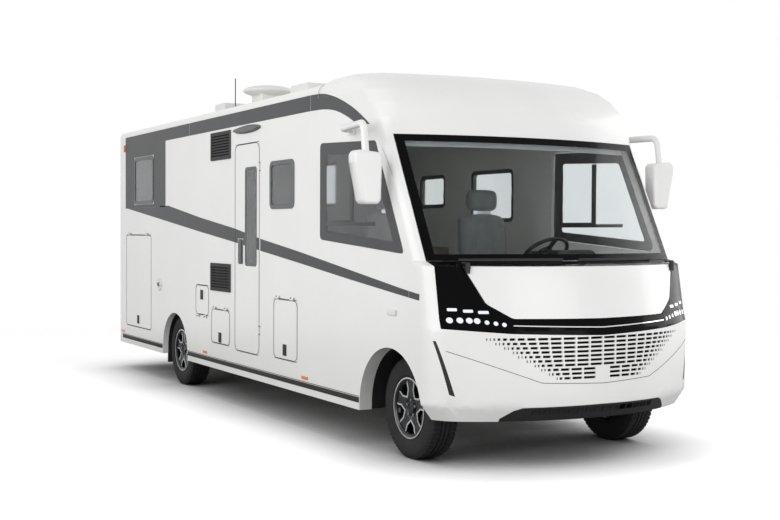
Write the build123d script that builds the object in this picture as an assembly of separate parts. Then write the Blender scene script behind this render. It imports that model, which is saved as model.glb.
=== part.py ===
from build123d import *

import os
from math import asin, cos, pi, radians, sin, sqrt
from typing import NamedTuple

# Integrated motorhome. Frame: +X forward, +Y to the vehicle's left, +Z up, floor at z = 0,
# origin under the middle of the length. Lengths in millimetres.

# Overall sizes
WHEELBASE = 4760.0
FRONT_OVERHANG = 970.0
REAR_OVERHANG = 2060.0
BODY_WIDTH = 2300.0
ROOF_Z = 2805.0
WALL_BOTTOM_Z = 412.0
WALL = 35.0
EDGE_R = 60.0
SKIN = 12.0
SEAM = 0.5
GAP = 6.0

HALF = BODY_WIDTH / 2
INNER = HALF - WALL
X_FRONT = (FRONT_OVERHANG + WHEELBASE + REAR_OVERHANG) / 2
XF = X_FRONT - FRONT_OVERHANG
XR = XF - WHEELBASE
X_REAR = XR - REAR_OVERHANG

# Wheels, tyres and their arches
TYRE_R = 365.0
TYRE_W = 225.0
BEAD_R = 205.0
RIM_R = 222.0
RIM_W = 200.0
HUB_R = 72.0
STUB_R = 30.0
BEARING = 0.3
FRONT_WHEEL_Y = 890.0
REAR_WHEEL_Y = 962.0
SPOKES = 5
FRONT_ARCH_R = 462.0
FRONT_ARCH_Z = 345.0
REAR_ARCH_R = 400.0
REAR_ARCH_SHIFT = 20.0
LINER = 8.0
FRONT_LINER_Y = 590.0
REAR_LINER_Y = 815.0
STUB_NOTCH = 60.0
FRONT_LIP = 105.0
REAR_LIP = 60.0

# Front suspension: king pin, arms, strut towers and subframe
KINGPIN_Y = 745.0
KINGPIN_R = 20.0
KINGPIN_LOW = 258.0
STRUT_TOP = 765.0
STUB_END = 54.0
UPRIGHT_L = 110.0
UPRIGHT_T = 52.0
ARM_Z = (262.0, 292.0)
TOWER_Z = (742.0, 760.0)
TOWER_Y = (520.0, 565.0)
SUBFRAME_Z = (320.0, 400.0)
SUBFRAME_X = (-220.0, 520.0)
SUBFRAME_MOUTH_X = (60.0, 440.0)
SUBFRAME_MOUTH_Y = 300.0

# Rear axle: torsion tube ahead of the wheels and its trailing arms
AXLE_LEAD = 230.0
AXLE_DROP = 12.0
AXLE_TUBE_R = 45.0
ARM_Y = (700.0, 770.0)
SADDLE_L = 140.0

# Floor, frame and skirts
FLOOR_Z = 500.0
FLOOR_T = 60.0
CAB_FLOOR_Y = 505.0
BULKHEAD_X = 40.0
BULKHEAD_T = 30.0
BULKHEAD_TOP = 1080.0
RAIL_Y = 455.0
RAIL_W = 70.0
RAIL_H = 100.0
RAIL_BACK = 160.0
RAIL_FRONT = 640.0
CROSS_W = 60.0
CROSS_INSET = 15.0
TOW_START = 120.0
TOW_PITCH = 200.0
TOW_HOLE_R = 6.5
PAD_L = 110.0
PAD_T = 12.0
PAD_FRONT_X = -640.0
PAD_REAR_X = -430.0
SKIRT_Z = 300.0
SKIRT_T = 25.0
SKIRT_GAP = 8.0
GROOVE_Z = (353.0, 395.0)
GROOVE_DEPTH = 4.0
BUMPER_DEPTH = 150.0
FLAP_Z = (200.0, 381.5)
FLAP_T = 6.0
FLAP_Y = 880.0

# Front moulding: seam with the walls, raised cap, windscreen
SEAM_X = 280.0
BELT_Z = 1435.0
CANTRAIL_Z = 2735.0
CAP_BACK = 1200.0
CAP_RISE = 55.0
CAP_SLOPE = 250.0
PILLAR_START = 1170.0
PILLAR_R = 1350.0
PILLAR_DEG = 63.0
SCREEN_TOP_Z = 2340.0
SCREEN_TOP_SETBACK = 855.0
SHOULDER_R = 170.0
CAP_REACH = 715.0
GLASS = 8.0
PANE = 6.0

# Grille in the bumper: rows of slots as (height, reach to each side), and the plain patch at its foot
GRILLE_ROWS = 10
GRILLE_TOP = (915.0, 830.0)
GRILLE_FOOT = (645.0, 365.0)
SLOT_H = 17.0
SLOT_L = 98.0
SLOT_MIN = 9.0
SLOT_RIB = 13.0
PATCH_Y = 62.0
PATCH_TOP = 720.0

# Low intake: one row of cells over the lip
INTAKE_CELL = (62.0, 38.0)
INTAKE_PITCH = 70.0
INTAKE_CELLS = 15
INTAKE_Z = 418.0

X_CAP = XF - CAP_BACK
X_SEAM = XF + SEAM_X
CAP_Z = ROOF_Z + CAP_RISE
FLOOR_TOP = FLOOR_Z + FLOOR_T


class Level(NamedTuple):
    """Plan outline of the nose at one height: how far it lies behind the foremost point, how far
    its sides are tucked in, and the radii of its front and of its corners."""

    z: float
    setback: float
    tuck: float
    front_r: float
    corner_r: float


class Opening(NamedTuple):
    """Cut-out in a side wall, measured along X from the front axle and up from the floor."""

    name: str
    x0: float
    x1: float
    z0: float
    z1: float
    corner: float

    def sketch(self, inset=0.0):
        """Outline of the cut-out in (x, z), shrunk by inset."""
        wide = self.x1 - self.x0 - 2 * inset
        tall = self.z1 - self.z0 - 2 * inset
        spot = Pos(XF + (self.x0 + self.x1) / 2, (self.z0 + self.z1) / 2)
        return spot * RectangleRounded(wide, tall, self.corner - min(inset, self.corner / 2))


class Lens(NamedTuple):
    """Lamp lens let into a panel: its centre, width and height in (y, z)."""

    y: float
    z: float
    wide: float
    tall: float

    def sketch(self, room=0.0):
        """Outline in (y, z), widened by room, with round ends."""
        wide = self.wide + 2 * room
        tall = self.tall + 2 * room
        if abs(wide - tall) < 1:
            return Pos(self.y, self.z) * Circle(wide / 2)
        return Pos(self.y, self.z) * RectangleRounded(wide, tall, min(wide, tall) * 0.3)


class Furniture(NamedTuple):
    """Plain piece of furniture: low and high values of x, y and z, with x from the front axle."""

    x: tuple
    y: tuple
    z: tuple


LOW_LEVELS = (
    Level(352, 75, 60, 1800, 320),
    Level(460, 5, 0, 1800, 260),
    Level(970, 0, 0, 1800, 250),
    Level(1046, 28, 0, 1800, 245),
    Level(1400, 122, 0, 1900, 200),
    Level(BELT_Z, 317, 0, 2400, 120),
)

# Windows of the living space, right and left
WINDOWS_RIGHT = (
    Opening("bedroom", -6190, -5470, 1935, 2475, 60),
    Opening("lounge", -2175, -1655, 1825, 2241, 60),
)
WINDOWS_LEFT = (
    Opening("bedroom", -6190, -5470, 1935, 2475, 60),
    Opening("kitchen", -3480, -2970, 1880, 2220, 60),
    Opening("lounge", -2480, -1750, 1730, 2230, 60),
)
FRAME_W = 38.0
FRAME_OUT = 6.0

# Doors and hatches
DOOR = Opening("entrance_door", -3008, -2408, 522, 2435, 40)
DOOR_LIGHT = Opening("door_light", -2755, -2475, 1317, 2215, 35)
DOOR_GRIP = Opening("door_grip", -2930, -2798, 1330, 1562, 20)
GARAGE = Opening("garage_door", -6520, -5550, 515, 1590, 40)
GAS_HATCH = Opening("gas_hatch", -4085, -3700, 795, 1100, 30)
TANK_HATCH = Opening("tank_hatch", -3632, -3128, 545, 885, 30)
LOCKER_HATCH = Opening("locker_hatch", -2092, -1586, 540, 1062, 30)
GRIP_DEPTH = 18.0
GRIP_W = 32.0
DOOR_FRAME_W = 24.0
LATCH = (85.0, 105.0)
LATCH_OUT = 5.0
VENTS = (
    Opening("upper_vent", -3635, -3112, 2315, 2583, 8),
    Opening("lower_vent", -3640, -3110, 1056, 1324, 8),
)
VENT_OUT = 10.0
VENT_BORDER = 28.0
SLATS = 8
FILLER = (-5255.0, 1048.0)
FILLER_R = 72.0
AWNING_LAMP = (-2700.0, 2559.0)
AWNING_LAMP_HALF = (320.0, 38.0)
AWNING_LAMP_OUT = 32.0

# Hinges on the walls
HINGE_OUT = 9.0
PIN_R = 4.0
KNUCKLE_R = 7.0
KNUCKLE_L = 60.0
EAR_L = 10.0
LEAF_T = 2.0
LEAF_REACH = 26.0
BONNET_PIN_X = 585.0
BONNET_PIN_Z = 1424.0
BONNET_PIN_Y = 900.0
BONNET_EDGE = LOW_LEVELS[4]
COWL_IN = SKIN + 2

# Lamps: front lenses on the left side, side markers, and the lenses of the back wall
HEADLAMPS = (
    Lens(1009, 1112, 56, 20),
    Lens(918, 1103, 58, 20),
    Lens(828, 1095, 64, 20),
    Lens(1029, 1041, 38, 38),
    Lens(971, 1041, 38, 38),
    Lens(917, 1040, 38, 38),
    Lens(872, 1038, 38, 38),
    Lens(815, 1028, 28, 28),
    Lens(762, 1021, 28, 28),
    Lens(711, 1013, 28, 28),
)
REAR_LAMPS = (Lens(-1010, 710, 110, 380), Lens(1010, 710, 110, 380), Lens(0, 2580, 360, 40))
LAMP_DEPTH = 14.0
MARKER_X = (-6655.0, -3803.0, -1435.0)
MARKER = (110.0, 8.0, 24.0)
MARKER_Z = 436.0

# Cabin: seats, dashboard, steering wheel and furniture
SEAT_X = -1010.0
SEAT_Y = 450.0
PEDESTAL = (360.0, 380.0)
CUSHION_Z = (900.0, 1060.0)
CUSHION_X = (-260.0, 270.0)
SEAT_W = 500.0
BACK_TOP = 1800.0
BACK_T = 110.0
RECLINE = 80.0
HEAD_REST = (110.0, 300.0, 190.0)
HEAD_REST_Z = 1910.0
ARM_REST_Y = 290.0
ARM_REST_Z = 1260.0
DASH_DEPTH = 250.0
DASH_TOP = 1445.0
HOOD_Y = (280.0, 640.0)
WHEEL_AT = (-330.0, 450.0, 1470.0)
WHEEL_LEAN = (-0.62, 0.0, 0.78)
WHEEL_RING = (185.0, 15.0)
COLUMN_R = 32.0
COLUMN_L = 700.0
BLIND_Z = 2255.0
BLIND_T = 35.0
BLIND_HALF = 1020.0
SIDE = INNER - SEAM
TAIL_X = X_REAR + EDGE_R + SEAM - XF
CABINETS = (
    Furniture((TAIL_X, -4460), (-SIDE, SIDE), (1640, 1700)),
    Furniture((-3900, -2900), (SIDE - 600, SIDE), (FLOOR_TOP, 1480)),
    Furniture((-3900, -3080), (-SIDE, -SIDE + 640), (FLOOR_TOP, 2600)),
)

# Mirrors, wipers, roof fittings, step, engine and tanks
MIRROR_Y = (1235.0, 1452.0)
MIRROR_Z = (1828.0, 2212.0)
MIRROR_T = 110.0
MIRROR_TAPER = 62.0
MIRROR_R = 45.0
MIRROR_FOOT = (-600.0, 2405.0)
MIRROR_ARM_R = 26.0
MIRROR_BEND = 70.0
WIPER_RUNS = ((-880.0, -120.0), (20.0, 780.0))
WIPER_T = 12.0
WIPER_H = 18.0
ROOF_LIGHTS = ((-1900.0, 0.0, 700.0), (-3350.0, -250.0, 500.0), (-5600.0, 0.0, 500.0))
ROOF_LIGHT_W = 560.0
ROOF_LIGHT_H = 90.0
DOME = (-4500.0, -550.0)
DOME_R = 190.0
DOME_H = 60.0
WHIP = (-4150.0, -700.0)
WHIP_R = 5.0
WHIP_H = 400.0
STEP_X = (-2960.0, -2440.0)
STEP_Z = (325.0, 350.0)
ENGINE_X = (90.0, 560.0)
ENGINE_HALF = 330.0
ENGINE_TOP = 1000.0
FUEL_TANK = ((-1600.0, -700.0), (60.0, 390.0))
WASTE_TANK = ((-3960.0, -3060.0), (-390.0, 390.0))
TANK_Z = 330.0


def block(x, y, z):
    """Box between the low and high values given for each axis."""
    middle = Pos(sum(x) / 2, sum(y) / 2, sum(z) / 2)
    return middle * Box(abs(x[1] - x[0]), abs(y[1] - y[0]), abs(z[1] - z[0]))


def plate_xz(sketch, y0, y1):
    """Side-view sketch in (x, z) as a plate from y0 up to y1."""
    return extrude(Plane.XZ.offset(-y1) * sketch, y1 - y0)


def plate_yz(sketch, x0, x1):
    """Front-view sketch in (y, z) as a plate from x0 up to x1."""
    return extrude(Plane.YZ.offset(x0) * sketch, x1 - x0)


def plate_xy(sketch, z0, z1):
    """Plan sketch in (x, y) as a plate from z0 up to z1."""
    return extrude(Plane.XY.offset(z0) * sketch, z1 - z0)


def rod_y(x, z, radius, y0, y1):
    """Round bar along Y."""
    return plate_xz(Pos(x, z) * Circle(radius), min(y0, y1), max(y0, y1))


def rod_z(x, y, radius, z0, z1):
    """Round bar along Z."""
    return plate_xy(Pos(x, y) * Circle(radius), z0, z1)


def both_sides(half):
    """A solid on the left together with its mirror image on the right."""
    return [half, mirror(half, about=Plane.XZ)]


def mirrored_outline(half_points):
    """Front-view polygon from its left half, listed from the top of the centre line to its foot."""
    left = [(y, z) for y, z in half_points]
    right = [(-y, z) for y, z in reversed(half_points) if y > 0]
    return make_face(Polyline(*left, *right, close=True))


# Shells of the body

def plan_face(level, inset=0.0, back=X_CAP):
    """Plan outline of the nose at one level, an exact parallel curve at the inset."""
    front_r = level.front_r - inset
    corner_r = level.corner_r - inset
    half = HALF - level.tuck - inset
    centre = X_FRONT - level.setback - level.front_r
    run = sqrt((front_r - corner_r) ** 2 - (half - corner_r) ** 2)
    corner_x = centre + run
    turn = asin((half - corner_r) / (front_r - corner_r))
    tangent = (centre + front_r * cos(turn), front_r * sin(turn))
    middle = (turn + pi / 2) / 2
    bend = (corner_x + corner_r * cos(middle), half - corner_r + corner_r * sin(middle))
    left = [Line((back, half), (corner_x, half)), ThreePointArc((corner_x, half), bend, tangent)]
    flip = [
        ThreePointArc((tangent[0], -tangent[1]), (bend[0], -bend[1]), (corner_x, -half)),
        Line((corner_x, -half), (back, -half)),
    ]
    front = ThreePointArc(tangent, (centre + front_r, 0), (tangent[0], -tangent[1]))
    return make_face(left + [front] + flip + [Line((back, -half), (back, half))])


def nose_loft(levels, inset=0.0, back=X_CAP):
    """Solid nose through the levels, shrunk all round by the inset."""
    return loft([Pos(0, 0, level.z) * plan_face(level, inset, back) for level in levels], ruled=True)


def cap_levels():
    """Levels of the raised cap: an ellipse along the centre line and a round shoulder at the sides."""
    base = LOW_LEVELS[-1]
    top = Level(SCREEN_TOP_Z, SCREEN_TOP_SETBACK, 0, 3200, base.corner_r)
    rise = CAP_Z - SCREEN_TOP_Z
    shoulder = CAP_Z - SHOULDER_R
    levels = [base, top]
    straight = [SCREEN_TOP_Z + (shoulder - SCREEN_TOP_Z) * share for share in (0.35, 0.7, 1.0)]
    curved = [shoulder + SHOULDER_R * sin(radians(angle)) for angle in (30, 60, 84)]
    for z in straight + curved:
        sweep_back = CAP_REACH * (1 - sqrt(1 - ((z - SCREEN_TOP_Z) / rise) ** 2))
        up = max(0.0, z - shoulder)
        tuck = SHOULDER_R - sqrt(SHOULDER_R ** 2 - up ** 2)
        share = (z - SCREEN_TOP_Z) / rise
        levels.append(Level(z, SCREEN_TOP_SETBACK + sweep_back, tuck, top.front_r, top.corner_r + 200 * share))
    return levels


def cap_slope(drop):
    """Wedge above the cap's slope down to the coach roof, lowered by drop."""
    low = ROOF_Z - drop
    points = [
        (X_CAP - 200, low),
        (X_CAP, low),
        (X_CAP + CAP_SLOPE, low + CAP_RISE + 10),
        (X_CAP + CAP_SLOPE, low + 300),
        (X_CAP - 200, low + 300),
    ]
    return plate_xz(make_face(Polyline(*points, close=True)), -HALF - 100, HALF + 100)


def upper_shell():
    """Hollow upper nose: windscreen zone, pillars and raised cap."""
    levels = cap_levels()
    outer = nose_loft(levels) - cap_slope(0)
    lowered = [levels[0]._replace(z=BELT_Z - 20)]
    for level in levels[1:]:
        sink = WALL if level.z > CAP_Z - SHOULDER_R - 1 else 0
        lowered.append(level._replace(z=level.z - sink))
    inner = nose_loft(lowered, WALL, X_CAP - 20) - cap_slope(WALL)
    return outer - inner


def low_shell():
    """Hollow lower nose, open below and behind, with the cowl closing its top up to the windscreen."""
    outer = nose_loft(LOW_LEVELS, 0, X_SEAM)
    lowered = [LOW_LEVELS[0]._replace(z=LOW_LEVELS[0].z - 10)]
    lowered += [level for level in LOW_LEVELS[1:-2]]
    lowered += [level._replace(z=level.z - SKIN) for level in LOW_LEVELS[-2:]]
    inner = nose_loft(lowered, SKIN, X_SEAM - 10)
    mouth = plate_xy(plan_face(LOW_LEVELS[-1], 25, X_SEAM - 10), BELT_Z - 40, BELT_Z + 10)
    return outer - inner - mouth


def coach_shell():
    """Rounded box of the living space as a shell, open at the front and below."""
    def rounded(inset, low, front):
        box = block((X_REAR + inset, front), (-HALF + inset, HALF - inset), (low, ROOF_Z - inset))
        tops = box.edges().filter_by(Axis.X).group_by(Axis.Z)[-1]
        uprights = box.edges().filter_by(Axis.Z).group_by(Axis.X)[0]
        back = box.edges().filter_by(Axis.Y).group_by(Axis.Z)[-1].sort_by(Axis.X)[:1]
        return fillet(tops + uprights + back, EDGE_R - inset)

    return rounded(0, WALL_BOTTOM_Z, X_SEAM) - rounded(WALL, WALL_BOTTOM_Z - 20, X_SEAM + 20)


def cap_region(shift=0.0):
    """Side-view region of the cap: above the cantrail and in front of the pillar seam."""
    start = (XF - PILLAR_START + shift, CANTRAIL_Z + shift)
    turn = radians(PILLAR_DEG)
    arc_end = (start[0] + PILLAR_R * sin(turn), start[1] - PILLAR_R * (1 - cos(turn)))
    run = (arc_end[1] - BELT_Z) / sin(turn)
    foot = (arc_end[0] + run * cos(turn), BELT_Z)
    half_turn = (start[0] + PILLAR_R * sin(turn / 2), start[1] - PILLAR_R * (1 - cos(turn / 2)))
    far = X_FRONT + 200
    return make_face([
        Line((X_CAP + shift, start[1]), start),
        ThreePointArc(start, half_turn, arc_end),
        Line(arc_end, foot),
        Polyline(foot, (far, BELT_Z), (far, CAP_Z + 100), (X_CAP + shift, CAP_Z + 100), (X_CAP + shift, start[1])),
    ])


def arch_cut(x, z, radius):
    """Round wheel opening through both sides, open below."""
    opening = plate_xz(Pos(x, z) * Circle(radius), -HALF - 50, HALF + 50)
    return opening + block((x - radius, x + radius), (-HALF - 50, HALF + 50), (0, z))


def arch_lip(x, z, radius, depth):
    """Return flange of a wheel opening on the left, from the wall's face inwards and down to the skirt."""
    ring = Pos(x, z) * (Circle(radius + LINER) - Circle(radius))
    band = plate_xz(ring, HALF - depth, HALF) & block((x - 2 * radius, X_SEAM), (0, HALF), (z, z + 2 * radius))
    return band + block((x - radius - LINER, x - radius), (HALF - depth, HALF), (SKIRT_Z, z))


def wheel_arches():
    """Cuts for the front and rear wheel openings."""
    front = arch_cut(XF, FRONT_ARCH_Z, FRONT_ARCH_R)
    rear = arch_cut(XR + REAR_ARCH_SHIFT, TYRE_R, REAR_ARCH_R)
    return [front, rear]


# Front outlines, seen from ahead

def screen_outline(inset=0.0):
    """Windscreen opening."""
    return mirrored_outline([
        (0, SCREEN_TOP_Z - inset), (1086 - inset, SCREEN_TOP_Z - inset),
        (1083 - inset, BELT_Z + inset), (0, BELT_Z + inset),
    ])


def bonnet_outline():
    """Opening of the bonnet in the black mask."""
    top = BELT_Z + GAP
    face = mirrored_outline([(0, top), (924, top), (924, BONNET_EDGE.z), (808, 1146), (650, 1046), (0, 1040)])
    low = face.vertices().group_by(Axis.Y)[1]
    side = face.vertices().group_by(Axis.Y)[2]
    return fillet(low + side, 70)


def cowl(inset):
    """Space behind the bonnet's upright rear edge, parallel to the nose's plan there."""
    return plate_xy(plan_face(BONNET_EDGE, inset), BONNET_EDGE.z - 2 * SKIN, BELT_Z + 2 * GAP)


def mask_outline():
    """Black mask with the lamp band and the cheeks beside the bonnet."""
    return mirrored_outline([(0, BELT_Z), (1083, BELT_Z), (1083, 983), (674, 952), (0, 930)])


def grille_outline():
    """Perforated insert between the lamp band and the bumper."""
    return mirrored_outline([(0, 930), (674, 952), (1060, 981), (1060, 838), (466, 620), (0, 603)])


def intake_outline():
    """Low dark intake."""
    return mirrored_outline([(0, 456), (590, 450), (645, 430), (715, 374), (715, 330), (0, 330)])


def slit_outline():
    """Upright dark slits at the bumper's corners, left and right."""
    points = [(1119, 900), (1106, 900), (1005, 528), (1038, 540)]
    left = make_face(Polyline(*points, close=True))
    right = make_face(Polyline(*[(-y, z) for y, z in points], close=True))
    return [left, right]


def front_zone(sketch):
    """Front-view outline as a prism through the whole nose."""
    return plate_yz(sketch, X_CAP + 50, X_FRONT + 200)


# Sub-parts of the body

def cab_light(inset=0.0):
    """Outline of the cab's side window."""
    points = [(-1160, 2336), (-222, 2300), (212, 1478), (-1156, 1570)]
    face = make_face(Polyline(*[(XF + x, z) for x, z in points], close=True))
    face = fillet(face.vertices(), 45)
    return offset(face, -inset) if inset else face


def side_walls(coach, upper):
    """Right and left wall, each from the rear corner to the pillar, with every opening cut."""
    tail = X_REAR + EDGE_R
    low = block((tail, X_SEAM), (-HALF - 5, HALF + 5), (WALL_BOTTOM_Z - 5, BELT_Z))
    high = block((tail, X_CAP), (-HALF - 5, HALF + 5), (BELT_Z, CANTRAIL_Z - SEAM))
    behind = block((X_CAP, X_FRONT), (-HALF - 5, HALF + 5), (BELT_Z, CANTRAIL_Z + 300))
    pillar = plate_xz(cap_region(-SEAM), -HALF - 5, HALF + 5)
    shell = (coach & low) + (coach & high) + ((upper & behind) - pillar)
    for arch in wheel_arches():
        shell -= arch
    lips = both_sides(arch_lip(XF, FRONT_ARCH_Z, FRONT_ARCH_R, FRONT_LIP))
    lips += both_sides(arch_lip(XR + REAR_ARCH_SHIFT, TYRE_R, REAR_ARCH_R, REAR_LIP))
    shell += lips
    walls = {}
    for side, lights in ((-1, WINDOWS_RIGHT), (1, WINDOWS_LEFT)):
        reach = (0, side * (HALF + 5))
        wall = shell & block((X_REAR, X_FRONT), (min(reach), max(reach)), (0, CAP_Z))
        cuts = [cab_light()] + [light.sketch() for light in lights] + [GARAGE.sketch()]
        if side < 0:
            cuts += [piece.sketch() for piece in (DOOR, GAS_HATCH, TANK_HATCH, LOCKER_HATCH)]
            cuts += [vent.sketch(20) for vent in VENTS]
        for cut in cuts:
            wall -= plate_xz(cut, min(reach), max(reach))
        walls[side] = wall
    return walls


def rear_wall(coach):
    """Back wall between the rounded corners."""
    zone = block((X_REAR - 5, X_REAR + EDGE_R - SEAM), (-HALF - 5, HALF + 5), (WALL_BOTTOM_Z - 5, CANTRAIL_Z - SEAM))
    return (coach & zone) - [lamp for lamp in rear_lamps(SEAM)]


def roof(coach):
    """Roof from the back edge to the cap."""
    return coach & block((X_REAR - 5, X_CAP - SEAM), (-HALF - 5, HALF + 5), (CANTRAIL_Z, ROOF_Z + 5))


def front_cap(upper):
    """Raised moulding over the windscreen with both pillars."""
    zone = plate_xz(cap_region(), -HALF - 5, HALF + 5)
    return (upper & zone) - front_zone(screen_outline()) - front_zone(Pos(0, BELT_Z) * Rectangle(2166, 60))


def windscreen():
    """Curved pane set flush in the cap's opening."""
    levels = cap_levels()[:2]
    inner = [levels[0]._replace(z=BELT_Z), levels[1]]
    pane = nose_loft(levels) - nose_loft(inner, GLASS, X_CAP - 20)
    return pane & front_zone(screen_outline(SEAM))


def nose_panels(shell):
    """Mask, bonnet, bumper, grille insert and intake, cut from the lower nose where the real panels meet."""
    mask_zone = front_zone(mask_outline())
    bonnet_zone = front_zone(bonnet_outline())
    grille_zone = front_zone(grille_outline())
    intake_zone = front_zone(intake_outline())
    slits = [front_zone(face) for face in slit_outline()]
    arch = wheel_arches()[0]
    mask = (shell & mask_zone) - (bonnet_zone - cowl(COWL_IN + GAP))
    mask -= [front_zone(lens.sketch(SEAM)) for lens in headlamp_lenses()]
    bonnet = (shell & front_zone(offset(bonnet_outline(), -GAP))) - cowl(COWL_IN)
    body = shell - mask_zone - grille_zone - intake_zone - arch
    for slit in slits:
        body -= slit
    grille = shell & grille_zone
    lamps = [shell & front_zone(lens.sketch()) for lens in headlamp_lenses()]
    intake = (shell & intake_zone) - front_zone(Sketch() + intake_cells())
    infill = [shell & slit for slit in slits]
    return {
        "mask": mask, "bonnet": bonnet, "bumper": body, "grille": grille,
        "intake": [intake] + infill, "lamps": lamps,
    }


def headlamp_lenses():
    """Lenses of both head lamps: day lights, projectors and indicators."""
    return [lens._replace(y=sign * lens.y) for sign in (-1, 1) for lens in HEADLAMPS]


def grille_slots():
    """Rows of slots on both sides of the middle that shorten towards the ends of each row."""
    slots = []
    for row in range(GRILLE_ROWS):
        share = row / (GRILLE_ROWS - 1)
        z = GRILLE_TOP[0] + share * (GRILLE_FOOT[0] - GRILLE_TOP[0])
        reach = GRILLE_TOP[1] + share * (GRILLE_FOOT[1] - GRILLE_TOP[1])
        y = SLOT_RIB / 2 if z > PATCH_TOP else PATCH_Y
        while y < reach:
            length = max(SLOT_MIN, SLOT_L * (1 - (y / reach) ** 2))
            middle = y + length / 2
            slots += [Pos(side * middle, z) * Rectangle(length, SLOT_H) for side in (-1, 1)]
            y += length + SLOT_RIB
    return slots


def intake_cells():
    """Row of openings in the low intake."""
    middle = (INTAKE_CELLS - 1) / 2
    across = [(index - middle) * INTAKE_PITCH for index in range(INTAKE_CELLS)]
    return [Pos(y, INTAKE_Z) * Rectangle(*INTAKE_CELL) for y in across]


def perforated(grille):
    """The insert with its slots cut through."""
    return grille - front_zone(Sketch() + grille_slots())


# Openings' panes, doors and hatches

def wall_hinge(axis_start, direction, wall_side, side):
    """Hinge on a wall's outer face: a pin with two ears for the wall, and a knuckle with a leaf for the lid.

    The axis lies outside the wall's face; direction and wall_side are in (x, z)."""
    x, z = axis_start
    y_axis = side * (HALF + HINGE_OUT)
    away = (wall_side[0], 0, wall_side[1])
    plane = Plane(origin=(x, y_axis, z), x_dir=away, z_dir=(direction[0], 0, direction[1]))
    inward = 1 if plane.y_dir.Y * side < 0 else -1
    full = KNUCKLE_L + 2 * EAR_L + 2 * BEARING
    pin = plane * Pos(0, 0, full / 2) * Cylinder(PIN_R, full)
    ears = []
    for foot in (0, full - EAR_L):
        ear = Pos(0, 0, foot + EAR_L / 2) * Cylinder(PIN_R + 2, EAR_L)
        base = Pos(10, inward * HINGE_OUT / 2, foot + EAR_L / 2) * Box(20, HINGE_OUT, EAR_L)
        ears += [plane * ear, plane * base]
    start = EAR_L + BEARING
    tube = Pos(0, 0, start + KNUCKLE_L / 2) * Cylinder(KNUCKLE_R, KNUCKLE_L)
    leaf_z = inward * (HINGE_OUT - LEAF_T / 2)
    leaf = Pos(-LEAF_REACH / 2, leaf_z, start + KNUCKLE_L / 2) * Box(LEAF_REACH, LEAF_T, KNUCKLE_L)
    web = Pos(-KNUCKLE_R / 2, inward * HINGE_OUT / 2, start + KNUCKLE_L / 2) * Box(KNUCKLE_R, HINGE_OUT, KNUCKLE_L)
    bore = Pos(0, 0, full / 2) * Cylinder(PIN_R + BEARING, full)
    knuckle = plane * ((tube + leaf + web) - bore)
    return pin + ears, knuckle


class Lid(NamedTuple):
    """A hinged panel: its opening, the side of the vehicle, its hinged edge and the spots of its hinges
    along that edge, and the centre of its latch in (x, z)."""

    opening: Opening
    side: int
    edge: str
    spots: tuple
    latch: tuple


LIDS = (
    Lid(DOOR, -1, "front", (0.1, 0.86), None),
    Lid(GARAGE, -1, "top", (0.12, 0.8), (-6031, 612)),
    Lid(GARAGE, 1, "top", (0.12, 0.8), (-6031, 612)),
    Lid(GAS_HATCH, -1, "bottom", (0.12, 0.66), (-3892, 1000)),
    Lid(TANK_HATCH, -1, "top", (0.12, 0.72), (-3380, 612)),
    Lid(LOCKER_HATCH, -1, "top", (0.12, 0.72), (-1839, 628)),
)


def lid_panel(lid):
    """Panel of a door or hatch with its hinge knuckles, and the pins that carry it."""
    opening = lid.opening
    low, high = sorted((lid.side * INNER, lid.side * HALF))
    panel = plate_xz(opening.sketch(GAP), low, high)
    wide = opening.x1 - opening.x0
    tall = opening.z1 - opening.z0
    pins = []
    for spot in lid.spots:
        if lid.edge == "front":
            start, direction, wall_side = (XF + opening.x1, opening.z0 + spot * tall), (0, 1), (1, 0)
        elif lid.edge == "top":
            start, direction, wall_side = (XF + opening.x0 + spot * wide, opening.z1), (1, 0), (0, 1)
        else:
            start, direction, wall_side = (XF + opening.x0 + spot * wide, opening.z0), (1, 0), (0, -1)
        pin, knuckle = wall_hinge(start, direction, wall_side, lid.side)
        pins.append(pin)
        panel += knuckle
    return panel, pins


def window_set(lights, side):
    """Frames and panes of a row of hinged windows, seated in their cut-outs."""
    low, high = sorted((side * (INNER + 2), side * (HALF + FRAME_OUT)))
    pane_low, pane_high = sorted((side * (HALF - PANE), side * HALF))
    frames = []
    panes = []
    for light in lights:
        frames.append(plate_xz(light.sketch(SEAM), low, high) - plate_xz(light.sketch(FRAME_W), low, high))
        panes.append(plate_xz(light.sketch(FRAME_W + SEAM), pane_low, pane_high))
    return frames, panes


def entrance_door(panel):
    """Door panel with its light and its grip recess cut, the light's frame with the grip, and the pane."""
    reach = (-HALF - 20, -INNER + 20)
    panel -= plate_xz(DOOR_LIGHT.sketch(), *reach)
    panel -= plate_xz(DOOR_GRIP.sketch(), -HALF - 1, -HALF + GRIP_DEPTH)
    frame = plate_xz(DOOR_LIGHT.sketch(SEAM), -HALF - LEAF_T, -INNER)
    frame -= plate_xz(DOOR_LIGHT.sketch(DOOR_FRAME_W), *reach)
    pane = plate_xz(DOOR_LIGHT.sketch(DOOR_FRAME_W + SEAM), -HALF, -HALF + PANE)
    bed = plate_xz(DOOR_GRIP.sketch(SEAM), -HALF + 4, -HALF + GRIP_DEPTH)
    middle = XF + (DOOR_GRIP.x0 + DOOR_GRIP.x1) / 2
    span = (middle - GRIP_W / 2, middle + GRIP_W / 2)
    bar = block(span, (-HALF - 4, -HALF + 4), (DOOR_GRIP.z0 + 12, DOOR_GRIP.z1 - 12))
    return panel, [frame, bed + bar], pane


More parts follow.
